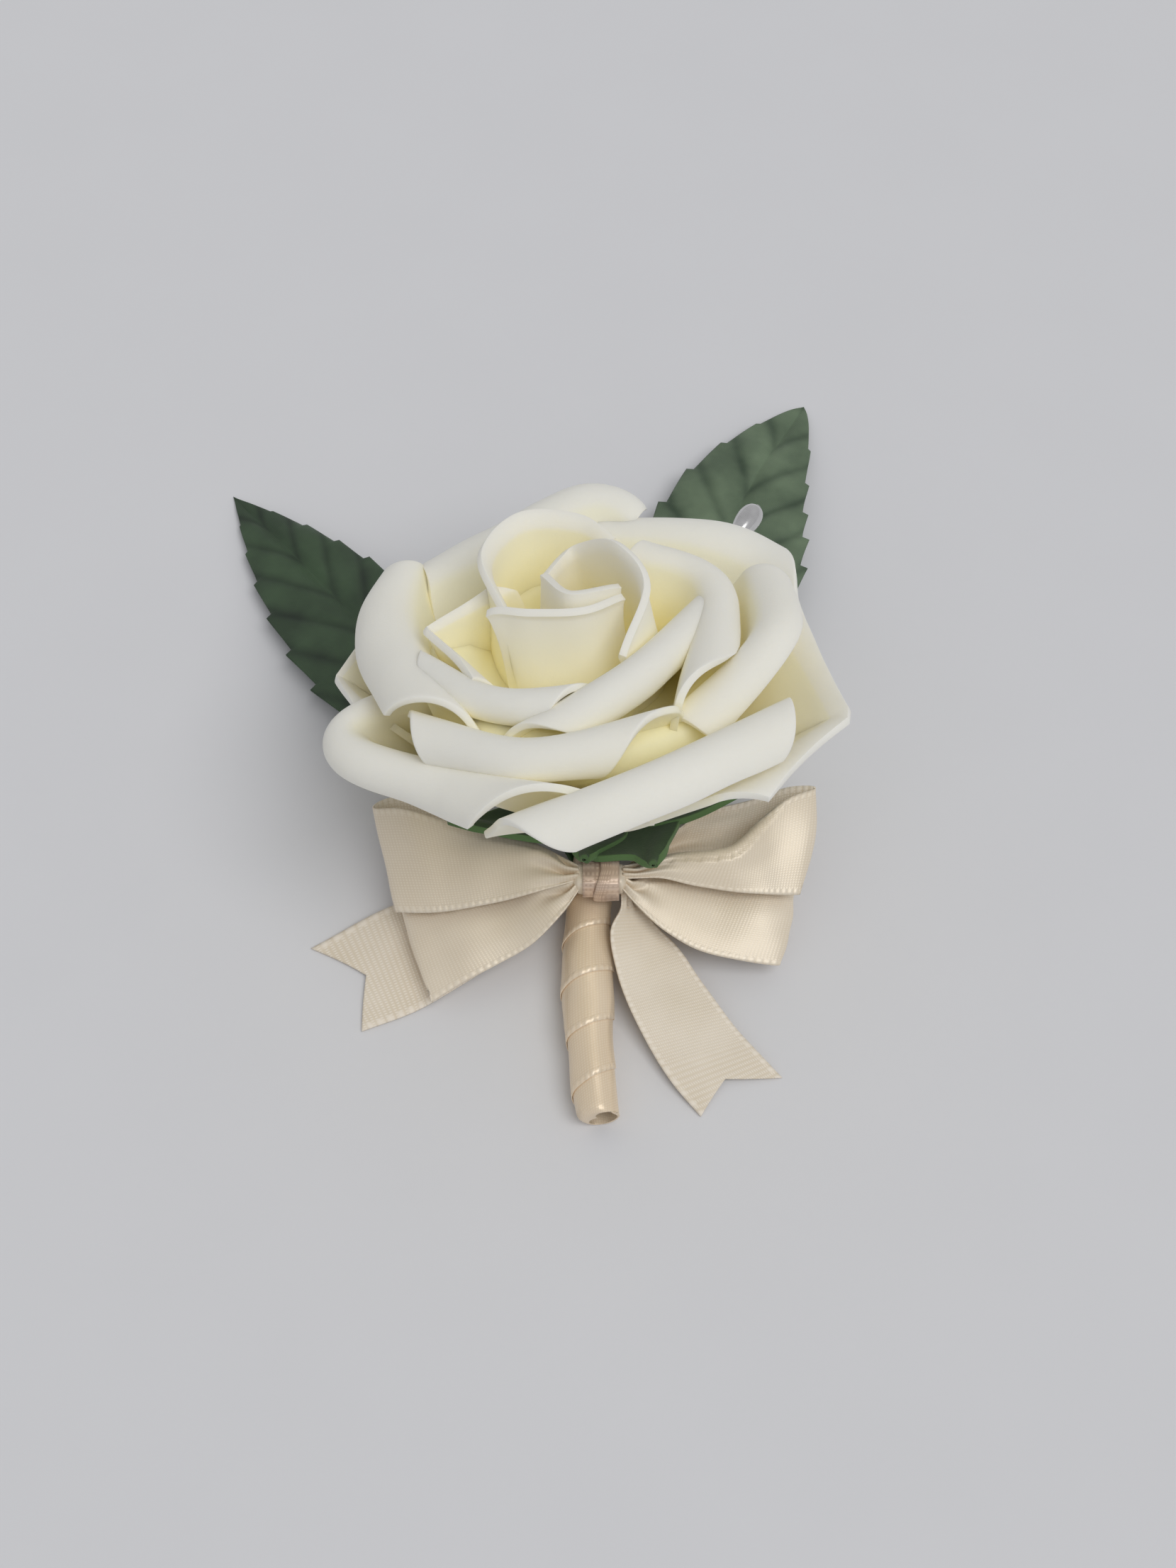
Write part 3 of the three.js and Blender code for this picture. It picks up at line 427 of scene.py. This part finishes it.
def sepal_point(sepal, a, t):
    azimuth, reach, tip, width, drift = sepal
    middle = around(azimuth + drift * t, LOBE_FROM + (reach - LOBE_FROM) * t,
                    LOBE_LOW + (tip - LOBE_LOW) * t ** 1.7)
    across = around(azimuth + drift * t + 90, 1, 0)
    half = width / 2 * (0.5 + 0.5 * math.sin(math.pi * min(1, 0.25 + t))) * (1 - t ** 3) + 0.4
    v = 2 * a - 1
    p = middle + across * v * half
    p.z += 0.8 * v * v * (1 - t) + 0.25 * math.sin(9 * t + 4 * v) * t
    return STAND @ p


# The same foam dyed green right through: matt and faintly mottled, with a painted highlight that makes it
# paler along its die-cut edge.
green_foam, tree, shader = new_finish("green_eva_foam")
mottled = blend(tree, grain(tree, 4 * MM, 3.0), "2C4226", "405636")
skin = relief(tree, grain(tree, 0.35 * MM, 2.0), 0.4, 0.1 * MM)
plug(tree, shader, {"Base Color": blend(tree, mark_of(tree), mottled, "557544"), "Roughness": 0.8,
                    "Sheen Weight": 0.15, "Normal": skin})

CUP = [(0, -2.8), (3, -2.8), (5.4, -1.6), (5.4, -0.4), (0, -0.4)]
cup = turned_piece("calyx_cup", CUP, STAND, green_foam)
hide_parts("rose_calyx")
for number, sepal in enumerate(SEPALS, 1):
    mesh = laid_grid(24, 40, lambda a, b: sepal_point(sepal, a, b),
                     # mark: the painted highlight along each lobe's sides and tip.
                     marks=lambda a, b: max(0, abs(2 * a - 1) - 0.92, b - 0.95) / 0.08)
    piece = piece_from(mesh, f"sepal_{number}", green_foam)
    thicken(piece, SEPAL_FOAM, SEPAL_EASED)
    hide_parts("rose_calyx")

# ---- leaves ---------------------------------------------------------------------------------
# Two rose leaves of polyester cloth, stiffened, dyed and heat-pressed so that the cloth quilts
# between its veins, each on a thin coated wire that runs down into the handle.
LEAF_CLOTH = 0.35
STALK_RADIUS = 0.5
TEETH = 9                   # on each side
TOOTH = 0.1                 # depth of a tooth as a share of the half width
VEINS = 6                   # on each side
QUILTED = 0.5               # how high the cloth is pressed up between the veins
GROOVE = 0.3                # how deep the middle vein is pressed in
WAVE, WAVE_SIZE = 1.3, 11   # of the whole blade
THREADS = 2 * math.pi / (0.35 * MM)     # of the weave
LEAVES = {
    "leaf_left": dict(rib=[(-19, 3, 5.2), (-34.7, 24, 5), (-49.3, 42.4, 2.6), (-62.5, 58.3, 0.35)],
                      halves=(14, 11.4), taper=1.1, fold=0.12, slot="leaf_cloth_dark", dark="182818",
                      light="425A3D",
                      stalk=[(-2.15, -30, 4.4), (-1.9, -18, 4.4), (-7, -9.5, 4.4), (-18.4, 3.7, 5)]),
    "leaf_right": dict(rib=[(13, 12, 5.6), (21, 35, 5.6), (27.5, 56, 4.2), (39.1, 78.7, 0.35)],
                       halves=(15, 14.6), taper=0.85, fold=0.1, slot="leaf_cloth_light", dark="2F432E",
                       light="73876A",
                       stalk=[(2.0, -30, 4.4), (2.7, -18.5, 4.4), (6.5, -8, 4.4), (12.6, 11, 5.4)]),
}


def leaf_outline(u, taper):
    """Half width from the base (0) to the tip (1) as a share of the widest. A bigger taper is a
    sharper tip."""
    widest = 1 / (1 + 2 * taper)
    return math.sqrt(u / widest) * ((1 - u) / (1 - widest)) ** taper


def leaf_vein(u, v):
    """How high the cloth is pressed up between the veins, from 0 on a vein to 1."""
    along = u - 0.3 * (abs(v) * leaf_outline(u, 1)) ** 0.8
    return 1 - math.exp(-(math.sin(math.pi * VEINS * along) / 0.45) ** 2)


def leaf_point(leaf, a, b):
    v = 2 * a - 1
    u = 0.02 + 0.98 * b
    middle, forward = through(leaf["rib"], u), heading(leaf["rib"], u)
    side = Vector((forward.y, -forward.x, 0)).normalized()
    teeth = u * TEETH + 0.15 * math.sin(7 * u + (2 if v > 0 else 0))
    bite = TOOTH * (1 - (teeth - math.floor(teeth)) ** 1.5) * abs(v) ** 6
    outline = leaf_outline(u, leaf["taper"])
    widest = leaf["halves"][0 if v < 0 else 1]
    half = widest * outline * (1 - bite) + 0.3 * (1 - u)
    p = middle + side * v * half
    p.z += leaf["fold"] * abs(v) * half - 0.1 * widest * v * v * outline
    quilt = min(1, outline) * (1 - abs(v) ** 3)
    p.z += QUILTED * leaf_vein(u, v) * quilt * min(1, abs(v) * 4) - GROOVE * math.exp(-(v * half / 1.1) ** 2)
    p.z += WAVE * noise.noise(p / WAVE_SIZE) * quilt
    p.z = max(p.z, LEAF_CLOTH / 2)
    return p


for name, leaf in LEAVES.items():
    # Pressed polyester cloth: dark green and faintly mottled at random, with a painted highlight where the
    # quilting rises between the veins and painted shade along the veins, a dull sheen from the size, and a
    # plain weave of 0.35 mm threads.
    cloth, tree, shader = new_finish(f"pressed_cloth_{name}")
    place_on = add(tree, "ShaderNodeTexCoord").outputs["Object"]
    split = add(tree, "ShaderNodeSeparateXYZ", {"Vector": place_on})
    weft, warp = (sums(tree, "SINE", sums(tree, "MULTIPLY", split.outputs[axis], THREADS)) for axis in "XY")
    patchy = stretch(tree, grain(tree, 8 * MM, 3.0), 0.35, 0.75, to_high=0.55)
    # lit: the painted highlight of the raised quilting over random mottling.
    lit = sums(tree, "MULTIPLY_ADD", mark_of(tree), 0.4, patchy)
    weave = relief(tree, sums(tree, "MULTIPLY", weft, warp), 0.35, 0.08 * MM)
    plug(tree, shader, {"Base Color": blend(tree, lit, leaf["dark"], leaf["light"]), "Roughness": 0.5,
                        "Sheen Weight": 0.15, "Sheen Roughness": 0.4, "Normal": weave})

    reach = (Vector(leaf["rib"][-1]) - Vector(leaf["rib"][0])).length * MM
    span = sum(leaf["halves"]) * MM
    mesh = laid_grid(60, 180, lambda a, b: leaf_point(leaf, a, b),
                     flat_at=lambda a, b: (a * span, b * reach),
                     # mark: the painted highlight of the quilting, 0 on a vein and 1 between veins.
                     marks=lambda a, b: leaf_vein(0.02 + 0.98 * b, 2 * a - 1))
    blade = piece_from(mesh, name + "_blade", cloth)
    thicken(blade, LEAF_CLOTH, 0)
    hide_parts(name)
    stalk = wire_piece(name + "_wire", leaf["stalk"], STALK_RADIUS, coat, sides=12)
    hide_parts(name + "_stalk")

# ---- wound handle ---------------------------------------------------------------------------
# The three wires are bound with white floral tape, then covered from the end upwards with satin
# ribbon under tension, each turn lapping the one below.
HANDLE_PATH = [(1.4, -57.8, 3.3), (0.5, -49.3, 3.6), (0, -40.7, 3.7), (-0.1, -32.1, 3.7), (0.2, -23.6, 3.7),
               (1.1, -15.2, 4)]
HANDLE_LENGTH = 43.2
HANDLE_GIRTH = [(3.05, 0, 0), (3.4, 0, 0), (3.65, 0, 0), (3.95, 0, 0), (3.65, 0, 0), (3.4, 0, 0), (3.3, 0, 0)]
LAP = 8                     # from one turn to the next
WOUND_WIDTH = 10            # of ribbon, part of it under the next turn
FIRST_LAP = 4.9             # from the handle's end to the first lap, on top
FIRST_TURN = -1.6           # where the ribbon starts, under the next turn
TURNS = 6.55
FOLD_AT = 0.08              # the side of the end that is folded in, in turns from the left over the top
FOLD_DEEP, FOLD_WIDE = 1.4, 0.2     # in girths, and in turns to each side
LUMPS, LUMP_SIZE = 0.35, 7  # from the wires and tape underneath


def handle_point(travelled, turn, out):
    """On the handle: how far up from its end, how far round, in turns from the left over the top,
    and how far out from the surface of the wound ribbon."""
    t = min(max(travelled / HANDLE_LENGTH, 0), 1)
    centre, forward = through(HANDLE_PATH, t), heading(HANDLE_PATH, t)
    side = forward.cross(Vector((0, 0, 1))).normalized()
    up = side.cross(forward)
    girth, past = through(HANDLE_GIRTH, t).x, max(0, -travelled)
    from_fold = (turn - FOLD_AT + 0.5) % 1 - 0.5
    folded = FOLD_DEEP * girth * (1 - math.exp(-past / girth)) * math.exp(-(from_fold / FOLD_WIDE) ** 2)
    leftwards, upwards = math.cos(2 * math.pi * turn), math.sin(2 * math.pi * turn)
    lumps = LUMPS * noise.noise(Vector((travelled / LUMP_SIZE, leftwards, upwards)))
    radius = girth + out - folded + lumps
    centre = centre - forward * 0.5 * (1 - math.exp(-past / 0.5))
    p = centre - side * radius * leftwards + up * radius * upwards
    p.z = max(p.z, 0.15)
    return p


def winding_point(a, b):
    """Across the wound ribbon (a), from its lapping edge to the one under the next turn, and along
    it (b)."""
    turn = b * TURNS + FIRST_TURN
    travelled = FIRST_LAP + LAP * (turn - 0.25) + a * WOUND_WIDTH
    tuck = min(1, a * WOUND_WIDTH / LAP)
    return handle_point(travelled, turn, 0.1 - 0.25 * tuck ** 0.7)


def ribbon_finish(name, pale, shade, width, ribs, roughness, sheen, gloss):
    """Polyester ribbon with woven selvages. ribs is how strongly the weft shows; the weft is 0.5 mm
    apart and the picot knots of the selvage 1.1 mm, both as on the real ribbon."""
    finish, tree, shader = new_finish(name)
    flat = add(tree, "ShaderNodeUVMap", uv_map="flat")
    split = add(tree, "ShaderNodeSeparateXYZ", {"Vector": flat.outputs["UV"]})
    across, along = split.outputs["X"], split.outputs["Y"]
    waves = [sums(tree, "SINE", sums(tree, "MULTIPLY", way, 2 * math.pi / (spacing * MM)))
             for way, spacing in ((along, 0.5), (across, 0.4), (along, 1.1))]
    weft, warp, knot = (stretch(tree, wave, -1.0, 1.0) for wave in waves)
    from_middle = sums(tree, "ABSOLUTE", sums(tree, "SUBTRACT", across, width / 2))
    selvage = stretch(tree, from_middle, width / 2 - 1.1 * MM, width / 2 - 0.8 * MM)
    threads = sums(tree, "MULTIPLY", weft, warp)
    woven = sums(tree, "MULTIPLY", threads, ribs)
    knotted = sums(tree, "MULTIPLY_ADD", knot, 0.6, 0.1)
    height = add(tree, "ShaderNodeMix", {"Factor_Float": selvage, "A_Float": woven, "B_Float": knotted})
    # Painted shade: the tone is darker in the valleys between the threads and paler on their tops, over
    # random unevenness.
    patchy = sums(tree, "ADD", threads, grain(tree, 9 * MM, 2.0))
    tone = blend(tree, stretch(tree, patchy, 0.2, 1.2), shade, pale)
    dotted = blend(tree, knot, tone, pale)
    lengthways = add(tree, "ShaderNodeTangent", direction_type="UV_MAP", uv_map="flat")
    plug(tree, shader, {"Base Color": blend(tree, selvage, tone, dotted), "Metallic": gloss,
                        "Roughness": roughness, "Anisotropic": 0.6, "Sheen Weight": sheen,
                        "Sheen Roughness": 0.3, "Tangent": lengthways.outputs["Tangent"],
                        "Normal": relief(tree, height.outputs[0], 0.6, 0.12 * MM)})
    return finish


# Satin-woven polyester, champagne: long floats give its face a soft lengthways gloss, and its
# back is matt, with the weft showing as fine ribs.
RIBBON_WIDTH = 16 * MM
RIBBON = 0.3
satin_face = ribbon_finish("satin_ribbon_face", "F0E4D0", "E3D4BC", RIBBON_WIDTH, 0.25, 0.38, 0.1, 0.14)
ribbed_back = ribbon_finish("satin_ribbon_back", "F3E9D9", "DCCEB6", RIBBON_WIDTH, 0.55, 0.6, 0.1, 0.0)
wound_face = ribbon_finish("satin_binding_face", "F4E2C8", "E8D2B2", WOUND_WIDTH * MM, 0.12, 0.34, 0.1,
                           0.22)

# Floral tape: crepe paper waxed to hold its turns, seen only at the cut end. Its white is painted down to
# grey, a painted shade for the hollow at the handle's end.
tape, tree, shader = new_finish("floral_tape_painted_shade")
crepe = grain(tree, 0.5 * MM, 4.0)
plug(tree, shader, {"Base Color": blend(tree, crepe, "6F6E6B", "B9B7B2"), "Roughness": 0.7,
                    "Normal": relief(tree, crepe, 0.8, 0.2 * MM)})

TAPE_START = 2.4            # from the handle's end to the cut wires and tape inside it
TAPE_UNDER = 0.45           # from the wound ribbon's surface down to the tape
mesh = laid_grid(48, 80, lambda a, b: handle_point(TAPE_START + b * (HANDLE_LENGTH - TAPE_START), a,
                                                   -TAPE_UNDER))
bmesh.ops.remove_doubles(mesh, verts=mesh.verts, dist=0.01 * MM)
bmesh.ops.holes_fill(mesh, edges=[e for e in mesh.edges if e.is_boundary])
bmesh.ops.recalc_face_normals(mesh, faces=mesh.faces)
handle_core = piece_from(mesh, "handle_tape", tape)
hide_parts("stem_wrap")

MEAN_RADIUS = 3.7           # of the handle
WOUND_LENGTH = TURNS * math.hypot(2 * math.pi * MEAN_RADIUS, LAP)
mesh = laid_grid(14, 420, winding_point,
                 flat_at=lambda a, b: (a * WOUND_WIDTH * MM, b * WOUND_LENGTH * MM))
winding = piece_from(mesh, "handle_winding", wound_face)
thicken(winding, RIBBON / 2, 0)
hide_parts("stem_wrap")

# ---- bow ------------------------------------------------------------------------------------
# One length of the same satin ribbon, folded to and fro into two loops and a tail on each side,
# satin face out, gathered at the waist and cut to a dovetail at both ends.
STRIPS = {
    "loop_upper_left": dict(side=-1,
        upper=[(-1.35, -21.6, 12.4), (-7.8, -17.6, 12.9), (-15.6, -15.8, 13), (-22.8, -14, 13.4),
               (-28.5, -12.2, 13.4), (-33.2, -10.9, 11.5), (-30.8, -7.4, 8.5), (-23.5, -8, 7.5),
               (-13.7, -12, 8), (-1.35, -21.3, 10.8)],
        lower=[(-1.35, -23.6, 12.2), (-7.8, -25.5, 11.6), (-13.4, -26.7, 10.8), (-19.8, -27.6, 9.8),
               (-24.2, -27.8, 9.2), (-28.8, -27, 7.8), (-26.6, -25.7, 5.9), (-20, -24.4, 5.8),
               (-11.5, -23.6, 6.8), (-1.35, -22.2, 10)]),
    "loop_lower_left": dict(side=-1,
        upper=[(-1.35, -22.8, 11.2), (-7.9, -22.9, 9), (-13.4, -23.9, 8), (-20, -25, 7.5), (-24.5, -25.7, 7),
               (-28.2, -25.4, 5.6), (-25.6, -23.4, 3), (-19, -22, 2.8), (-9, -21, 4.6), (-1.35, -21.6, 9.3)],
        lower=[(-1.35, -24.6, 11.2), (-4, -28.4, 10), (-8.2, -32.1, 7.8), (-13.6, -34.8, 5.7),
               (-19, -37.3, 4.4), (-23.8, -39.9, 3.4), (-20.8, -37.2, 2.3), (-14, -32.3, 2.4),
               (-6.5, -26.8, 4.6), (-1.35, -22.8, 9)]),
    "loop_upper_right": dict(side=1,
        upper=[(5.25, -21.6, 12.4), (13.2, -19.9, 13.2), (19.5, -19.8, 13.8), (23.5, -18.3, 14),
               (30, -11, 13.7), (35.4, -7.9, 12.5), (31.2, -6.7, 10.4), (25.9, -8, 9), (16, -11.4, 8.2),
               (5.25, -21.3, 10.8)],
        lower=[(5.25, -23.4, 12.2), (10.9, -23.1, 11.5), (16.5, -23.9, 10.5), (22.5, -24.5, 9.6),
               (28.1, -24.6, 9), (32.7, -24, 7.8), (29.5, -22.8, 6), (23, -21.8, 5.8), (14, -21, 6.8),
               (5.25, -21.4, 10)]),
    "loop_lower_right": dict(side=1,
        upper=[(5.25, -22.8, 11.2), (9, -21.6, 9.4), (15, -21, 8), (22, -21.2, 7.3), (28.4, -21.2, 7),
               (32.2, -20.6, 5.5), (28.9, -18.9, 3.3), (22, -18.2, 3.1), (12, -18.4, 4.8),
               (5.25, -21.2, 9.3)],
        lower=[(5.25, -24.6, 11.2), (8.2, -27.7, 9.8), (12.4, -30.7, 7.8), (17, -32.8, 6.1),
               (23.4, -33.8, 4.8), (29.2, -33.9, 3.5), (25.8, -31.9, 2.2), (19.5, -29.2, 2.4),
               (11, -25.1, 4.6), (5.25, -22.4, 8.9)]),
    "tail_left": dict(side=-1, notch=0.085,
        upper=[(-1.35, -22, 9.3), (-4.6, -20.9, 7), (-8.5, -20, 3.4), (-14.5, -19.6, 1.6), (-24, -20.4, 1.2),
               (-33, -23.9, 0.9), (-42.8, -29.6, 0.35)],
        lower=[(-1.35, -23.4, 9.3), (-4.9, -24.9, 7), (-8.6, -27.6, 3.2), (-12.5, -31, 1.5),
               (-19, -35.9, 1.1), (-26.5, -40.3, 0.8), (-34.2, -43.4, 0.35)]),
    "tail_right": dict(side=1, notch=0.085,
        upper=[(5.25, -22.6, 9.3), (7.6, -25.4, 6.8), (10.5, -28.2, 5), (13.9, -31.4, 3.8),
               (17.2, -36.2, 2.6), (21.5, -42.3, 1.7), (25.3, -46.9, 1.1), (29, -50.9, 0.35)],
        lower=[(5.25, -24.2, 9.3), (4.9, -26.8, 8.8), (3.4, -30.2, 7.8), (4.2, -35.3, 6), (5.9, -40.6, 4.3),
               (8.8, -46.2, 2.7), (12.4, -52, 1.5), (16.7, -57, 0.35)]),
}
NOTCH_FROM = 0.8            # the share of a tail before its dovetail begins
PLEAT = 1.0                 # how deep the gathers are beside the waist
SOFTNESS, SOFT_SIZE = 0.7, 9    # of the waves left from folding
CROWN = 0.5                 # how far a loop's face bulges
CURL_RADIUS = 1.4           # of the ribbon's upper edge where it turns back into its loop
CURL_MOST = 5
STRIP_ALONG = 150


def on_table(p):
    return Vector((p.x, p.y, max(p.z, RIBBON / 2)))


def cut_back(strip, v, t):
    """How far along the strip its mesh line t lies, which the dovetail draws in at the middle."""
    if "notch" not in strip or t < NOTCH_FROM:
        return t
    return NOTCH_FROM + (t - NOTCH_FROM) * (1 - strip["notch"] / (1 - NOTCH_FROM) * (1 - abs(2 * v - 1)))


def strip_point(strip, v, t):
    """On a strip: v from its upper edge (0) to its lower edge (1), t along it from the waist."""
    t = cut_back(strip, v, t)
    upper, lower = through(strip["upper"], t), through(strip["lower"], t)
    middle = [(Vector(p) + Vector(q)) / 2 for p, q in zip(strip["upper"], strip["lower"])]
    out = (heading(middle, t).cross(lower - upper)).normalized() * -strip["side"]
    down = (lower - upper).normalized()
    width = (lower - upper).length
    spare = max(0, RIBBON_WIDTH / MM - width)
    gather = math.exp(-(t / 0.1) ** 2) + (0 if "notch" in strip else math.exp(-((1 - t) / 0.35) ** 2))
    pleat = PLEAT * gather * min(1, spare / 5) * math.cos(5 * math.pi * v) * math.sin(math.pi * v) ** 0.5
    pleat += SOFTNESS * noise.noise(upper.lerp(lower, v) / SOFT_SIZE) * min(1, 5 * t, 5 * (1 - t))
    crown = CROWN * math.sin(math.pi * v)
    if "notch" in strip:
        return on_table(upper.lerp(lower, v) + out * pleat)
    curl = min(CURL_MOST, 0.5 * spare) * min(1, 9 * t, 9 * (1 - t))
    turned = curl / (width + curl)
    brow = upper + down * CURL_RADIUS * math.sin(min(math.pi / 2, curl / CURL_RADIUS))
    if v < turned:
        angle = (turned - v) / turned * curl / CURL_RADIUS
        behind = CURL_RADIUS * (1 - math.cos(angle))
        return brow - down * CURL_RADIUS * math.sin(angle) + out * (pleat - behind)
    return on_table(brow.lerp(lower, (v - turned) / (1 - turned)) + out * (pleat + crown * min(1, 8 * t)))


def flat_place(strip, travelled, a, b):
    """On the flat ribbon in metres; travelled is how far along it each step of the strip lies."""
    step = cut_back(strip, a, b) * STRIP_ALONG
    start = min(int(step), STRIP_ALONG - 1)
    walked = travelled[start] + (travelled[start + 1] - travelled[start]) * (step - start)
    return a * RIBBON_WIDTH, walked * MM


for name, strip in STRIPS.items():
    steps = [strip_point(strip, 0.5, i / STRIP_ALONG) for i in range(STRIP_ALONG + 1)]
    travelled = [0.0]
    for p, q in zip(steps, steps[1:]):
        travelled.append(travelled[-1] + (q - p).length)

    mesh = laid_grid(32, STRIP_ALONG, lambda a, b: strip_point(strip, a if strip["side"] > 0 else 1 - a, b),
                     flat_at=lambda a, b: flat_place(strip, travelled, a, b))
    outside, inside = (ribbed_back, satin_face) if "notch" in strip else (satin_face, ribbed_back)
    piece = piece_from(mesh, "bow_" + name, outside, inside)
    thicken(piece, RIBBON, 0, material_offset=1)
    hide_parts("bow_ribbon")

WAIST = Vector((1.8, -22.95, 10.95))
WAIST_SIZE = Vector((8, 4.1, 4.1))
WAIST_ROUNDING = 1.2
mesh = bmesh.new()
bmesh.ops.create_cube(mesh, size=1)
bmesh.ops.transform(mesh, matrix=Matrix.Translation(LAYOUT_ZERO + WAIST * MM)
                    @ Matrix.Diagonal((*(WAIST_SIZE * MM), 1)), verts=mesh.verts)
bmesh.ops.bevel(mesh, geom=mesh.edges, offset=WAIST_ROUNDING * MM, segments=5, affect="EDGES",
                profile=0.5, material=-1)
uv = mesh.loops.layers.uv.new("flat")
for face in mesh.faces:
    for loop in face.loops:
        loop[uv].uv = loop.vert.co.y + loop.vert.co.z, loop.vert.co.x
waist = piece_from(mesh, "bow_waist", satin_face)
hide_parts("bow_ribbon")

# ---- band -----------------------------------------------------------------------------------
# A short end of narrower satin, taken once round the waist with a lengthways pleat in it and
# glued behind, which holds the bow together and to the handle.
BAND_HALF = 2.4             # from the waist's centre line to the band's under side
BAND_WIDTH = 10
BAND_LAYER = 0.28


def band_point(a, b):
    """Across the pleated strip (a) and once round the waist from its under side (b)."""
    turn = 2 * math.pi * b
    y, z = (math.copysign(abs(k) ** 0.6, k) for k in (math.sin(turn), -math.cos(turn)))
    fold = 0.9 + 1.1 * max(0, z) * (1 - 0.6 * max(0, -y))
    pleat = [(-0.8, 0, 0), (1.1, 0, 0), (2.8, 0, 0), (3.15, 0.5, 0), (2.8, 1, 0), (fold + 0.5, 1, 0),
             (fold, 1.5, 0), (fold + 0.4, 2, 0), (fold + 1.4, 2.1, 0), (4.7, 1.7, 0)]
    x, layer, _ = through(pleat, a)
    reach = BAND_HALF + BAND_LAYER * layer
    return Vector((x, WAIST.y + y * reach, WAIST.z + z * reach))


# Narrow satin-woven polyester of a pinker champagne than the bow.
band_face = ribbon_finish("narrow_satin_face", "E2CBB7", "B79B85", BAND_WIDTH * MM, 0.3, 0.32, 0.1, 0.25)
BAND_ROUND = 2 * math.pi * (BAND_HALF + BAND_LAYER)
mesh = laid_grid(40, 120, band_point, flat_at=lambda a, b: (a * BAND_WIDTH * MM, b * BAND_ROUND * MM))
bmesh.ops.remove_doubles(mesh, verts=mesh.verts, dist=0.005 * MM)
band = piece_from(mesh, "waist_band", band_face)
thicken(band, BAND_LAYER * 0.8, 0)
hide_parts("bow_band")

# ---- pin ------------------------------------------------------------------------------------
# A corsage pin: polished nickel-plated steel wire, ground to a point, with a drop-shaped pearl
# bead pushed on its other end. It is stuck down into the back of the bloom.
PIN_START = Vector((24.8, 36, 20.2))
PIN_AIM = Vector((3, -1, 24))
PIN_PLACE = Matrix.Translation(PIN_START) @ (PIN_AIM - PIN_START).to_track_quat("Z", "Y").to_matrix().to_4x4()
PIN_RADIUS, PIN_LENGTH, PIN_POINT = 0.35, 46, 4

# Nickel-plated steel, drawn and polished: a bright mirror with fine lengthways drawing lines.
steel, tree, shader = new_finish("polished_nickel_steel")
polish = stretch(tree, grain(tree, 0.2 * MM, 2.0), 0.0, 1.0, 0.15, 0.3)
plug(tree, shader, {"Base Color": linear("CFCDC8"), "Metallic": 1.0, "Roughness": polish})

shaft = turned_piece("pin_wire", [(0, 0), (PIN_RADIUS, 0), (PIN_RADIUS, PIN_LENGTH - PIN_POINT),
                                  (0, PIN_LENGTH)], PIN_PLACE, steel, steps=24)
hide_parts("pin_shaft")

# Pearl lacquer over a plastic drop: white with a hard gloss and a slight pearly bloom under it.
pearl, tree, shader = new_finish("pearl_lacquer")
clouded = blend(tree, grain(tree, 2 * MM, 2.0), "BDBCBC", "E6E5E4")
plug(tree, shader, {"Base Color": clouded, "Metallic": 0.75, "Roughness": 0.18, "Coat Weight": 1.0,
                    "Coat Roughness": 0.05})

PEARL = [(0, -6.1), (0.25, -6.08), (0.45, -5.95), (0.5, -5.7), (0.85, -5.5), (1.3, -5.15), (1.65, -4.65),
         (1.9, -4), (2.03, -3.2), (2.05, -2.5), (1.97, -1.5), (1.8, -0.6), (1.55, 0.4), (1.3, 1.2),
         (1.05, 1.9), (0.8, 2.2), (0.4, 2.2), (0.4, -0.3), (0, -0.3)]
head = turned_piece("pin_pearl", PEARL, PIN_PLACE, pearl)
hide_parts("pin_head")

# ---- table, light and camera ----------------------------------------------------------------
# A plain pale table top in soft window light, seen from in front and well above.
table_top, tree, shader = new_finish("pale_table")
speckled = blend(tree, grain(tree, 1 / 40, 3.0), "DCDCDE", "DFDFE1")
plug(tree, shader, {"Base Color": speckled, "Roughness": 0.6})
mesh = bmesh.new()
bmesh.ops.create_grid(mesh, x_segments=1, y_segments=1, size=3)
data = bpy.data.meshes.new("table_top")
mesh.to_mesh(data)
mesh.free()
data.materials.append(table_top)
table = bpy.data.objects.new("table_top", data)
bpy.context.scene.collection.objects.link(table)

VIEW_ELEVATION = math.radians(60)
VIEW_DISTANCE = 0.33
lens = bpy.data.cameras.new("camera")
lens.sensor_width = 36
lens.lens = 46.76
lens.clip_start = 0.01
camera = bpy.data.objects.new("camera", lens)
camera.location = LAYOUT_ZERO + VIEW_DISTANCE * Vector((0, -math.cos(VIEW_ELEVATION),
                                                        math.sin(VIEW_ELEVATION)))
camera.rotation_euler = (math.pi / 2 - VIEW_ELEVATION, 0, 0)
bpy.context.scene.collection.objects.link(camera)
bpy.context.scene.camera = camera

sky = bpy.data.worlds.new("room")
sky.use_nodes = True
sky.node_tree.nodes["Background"].inputs["Color"].default_value = linear("F0F1F4")
sky.node_tree.nodes["Background"].inputs["Strength"].default_value = 0.49
bpy.context.scene.world = sky
daylight = bpy.data.lights.new("daylight", "SUN")
daylight.energy = 1.15
daylight.angle = math.radians(40)
window = bpy.data.objects.new("daylight", daylight)
window.rotation_euler = Vector((-0.35, 0.3, -0.9)).to_track_quat("-Z", "Y").to_euler()
bpy.context.scene.collection.objects.link(window)
bpy.context.scene.view_settings.view_transform = "Standard"
bpy.context.scene.cycles.max_bounces = 16       # light finds its way down between the pale petals
bpy.context.scene.cycles.diffuse_bounces = 12
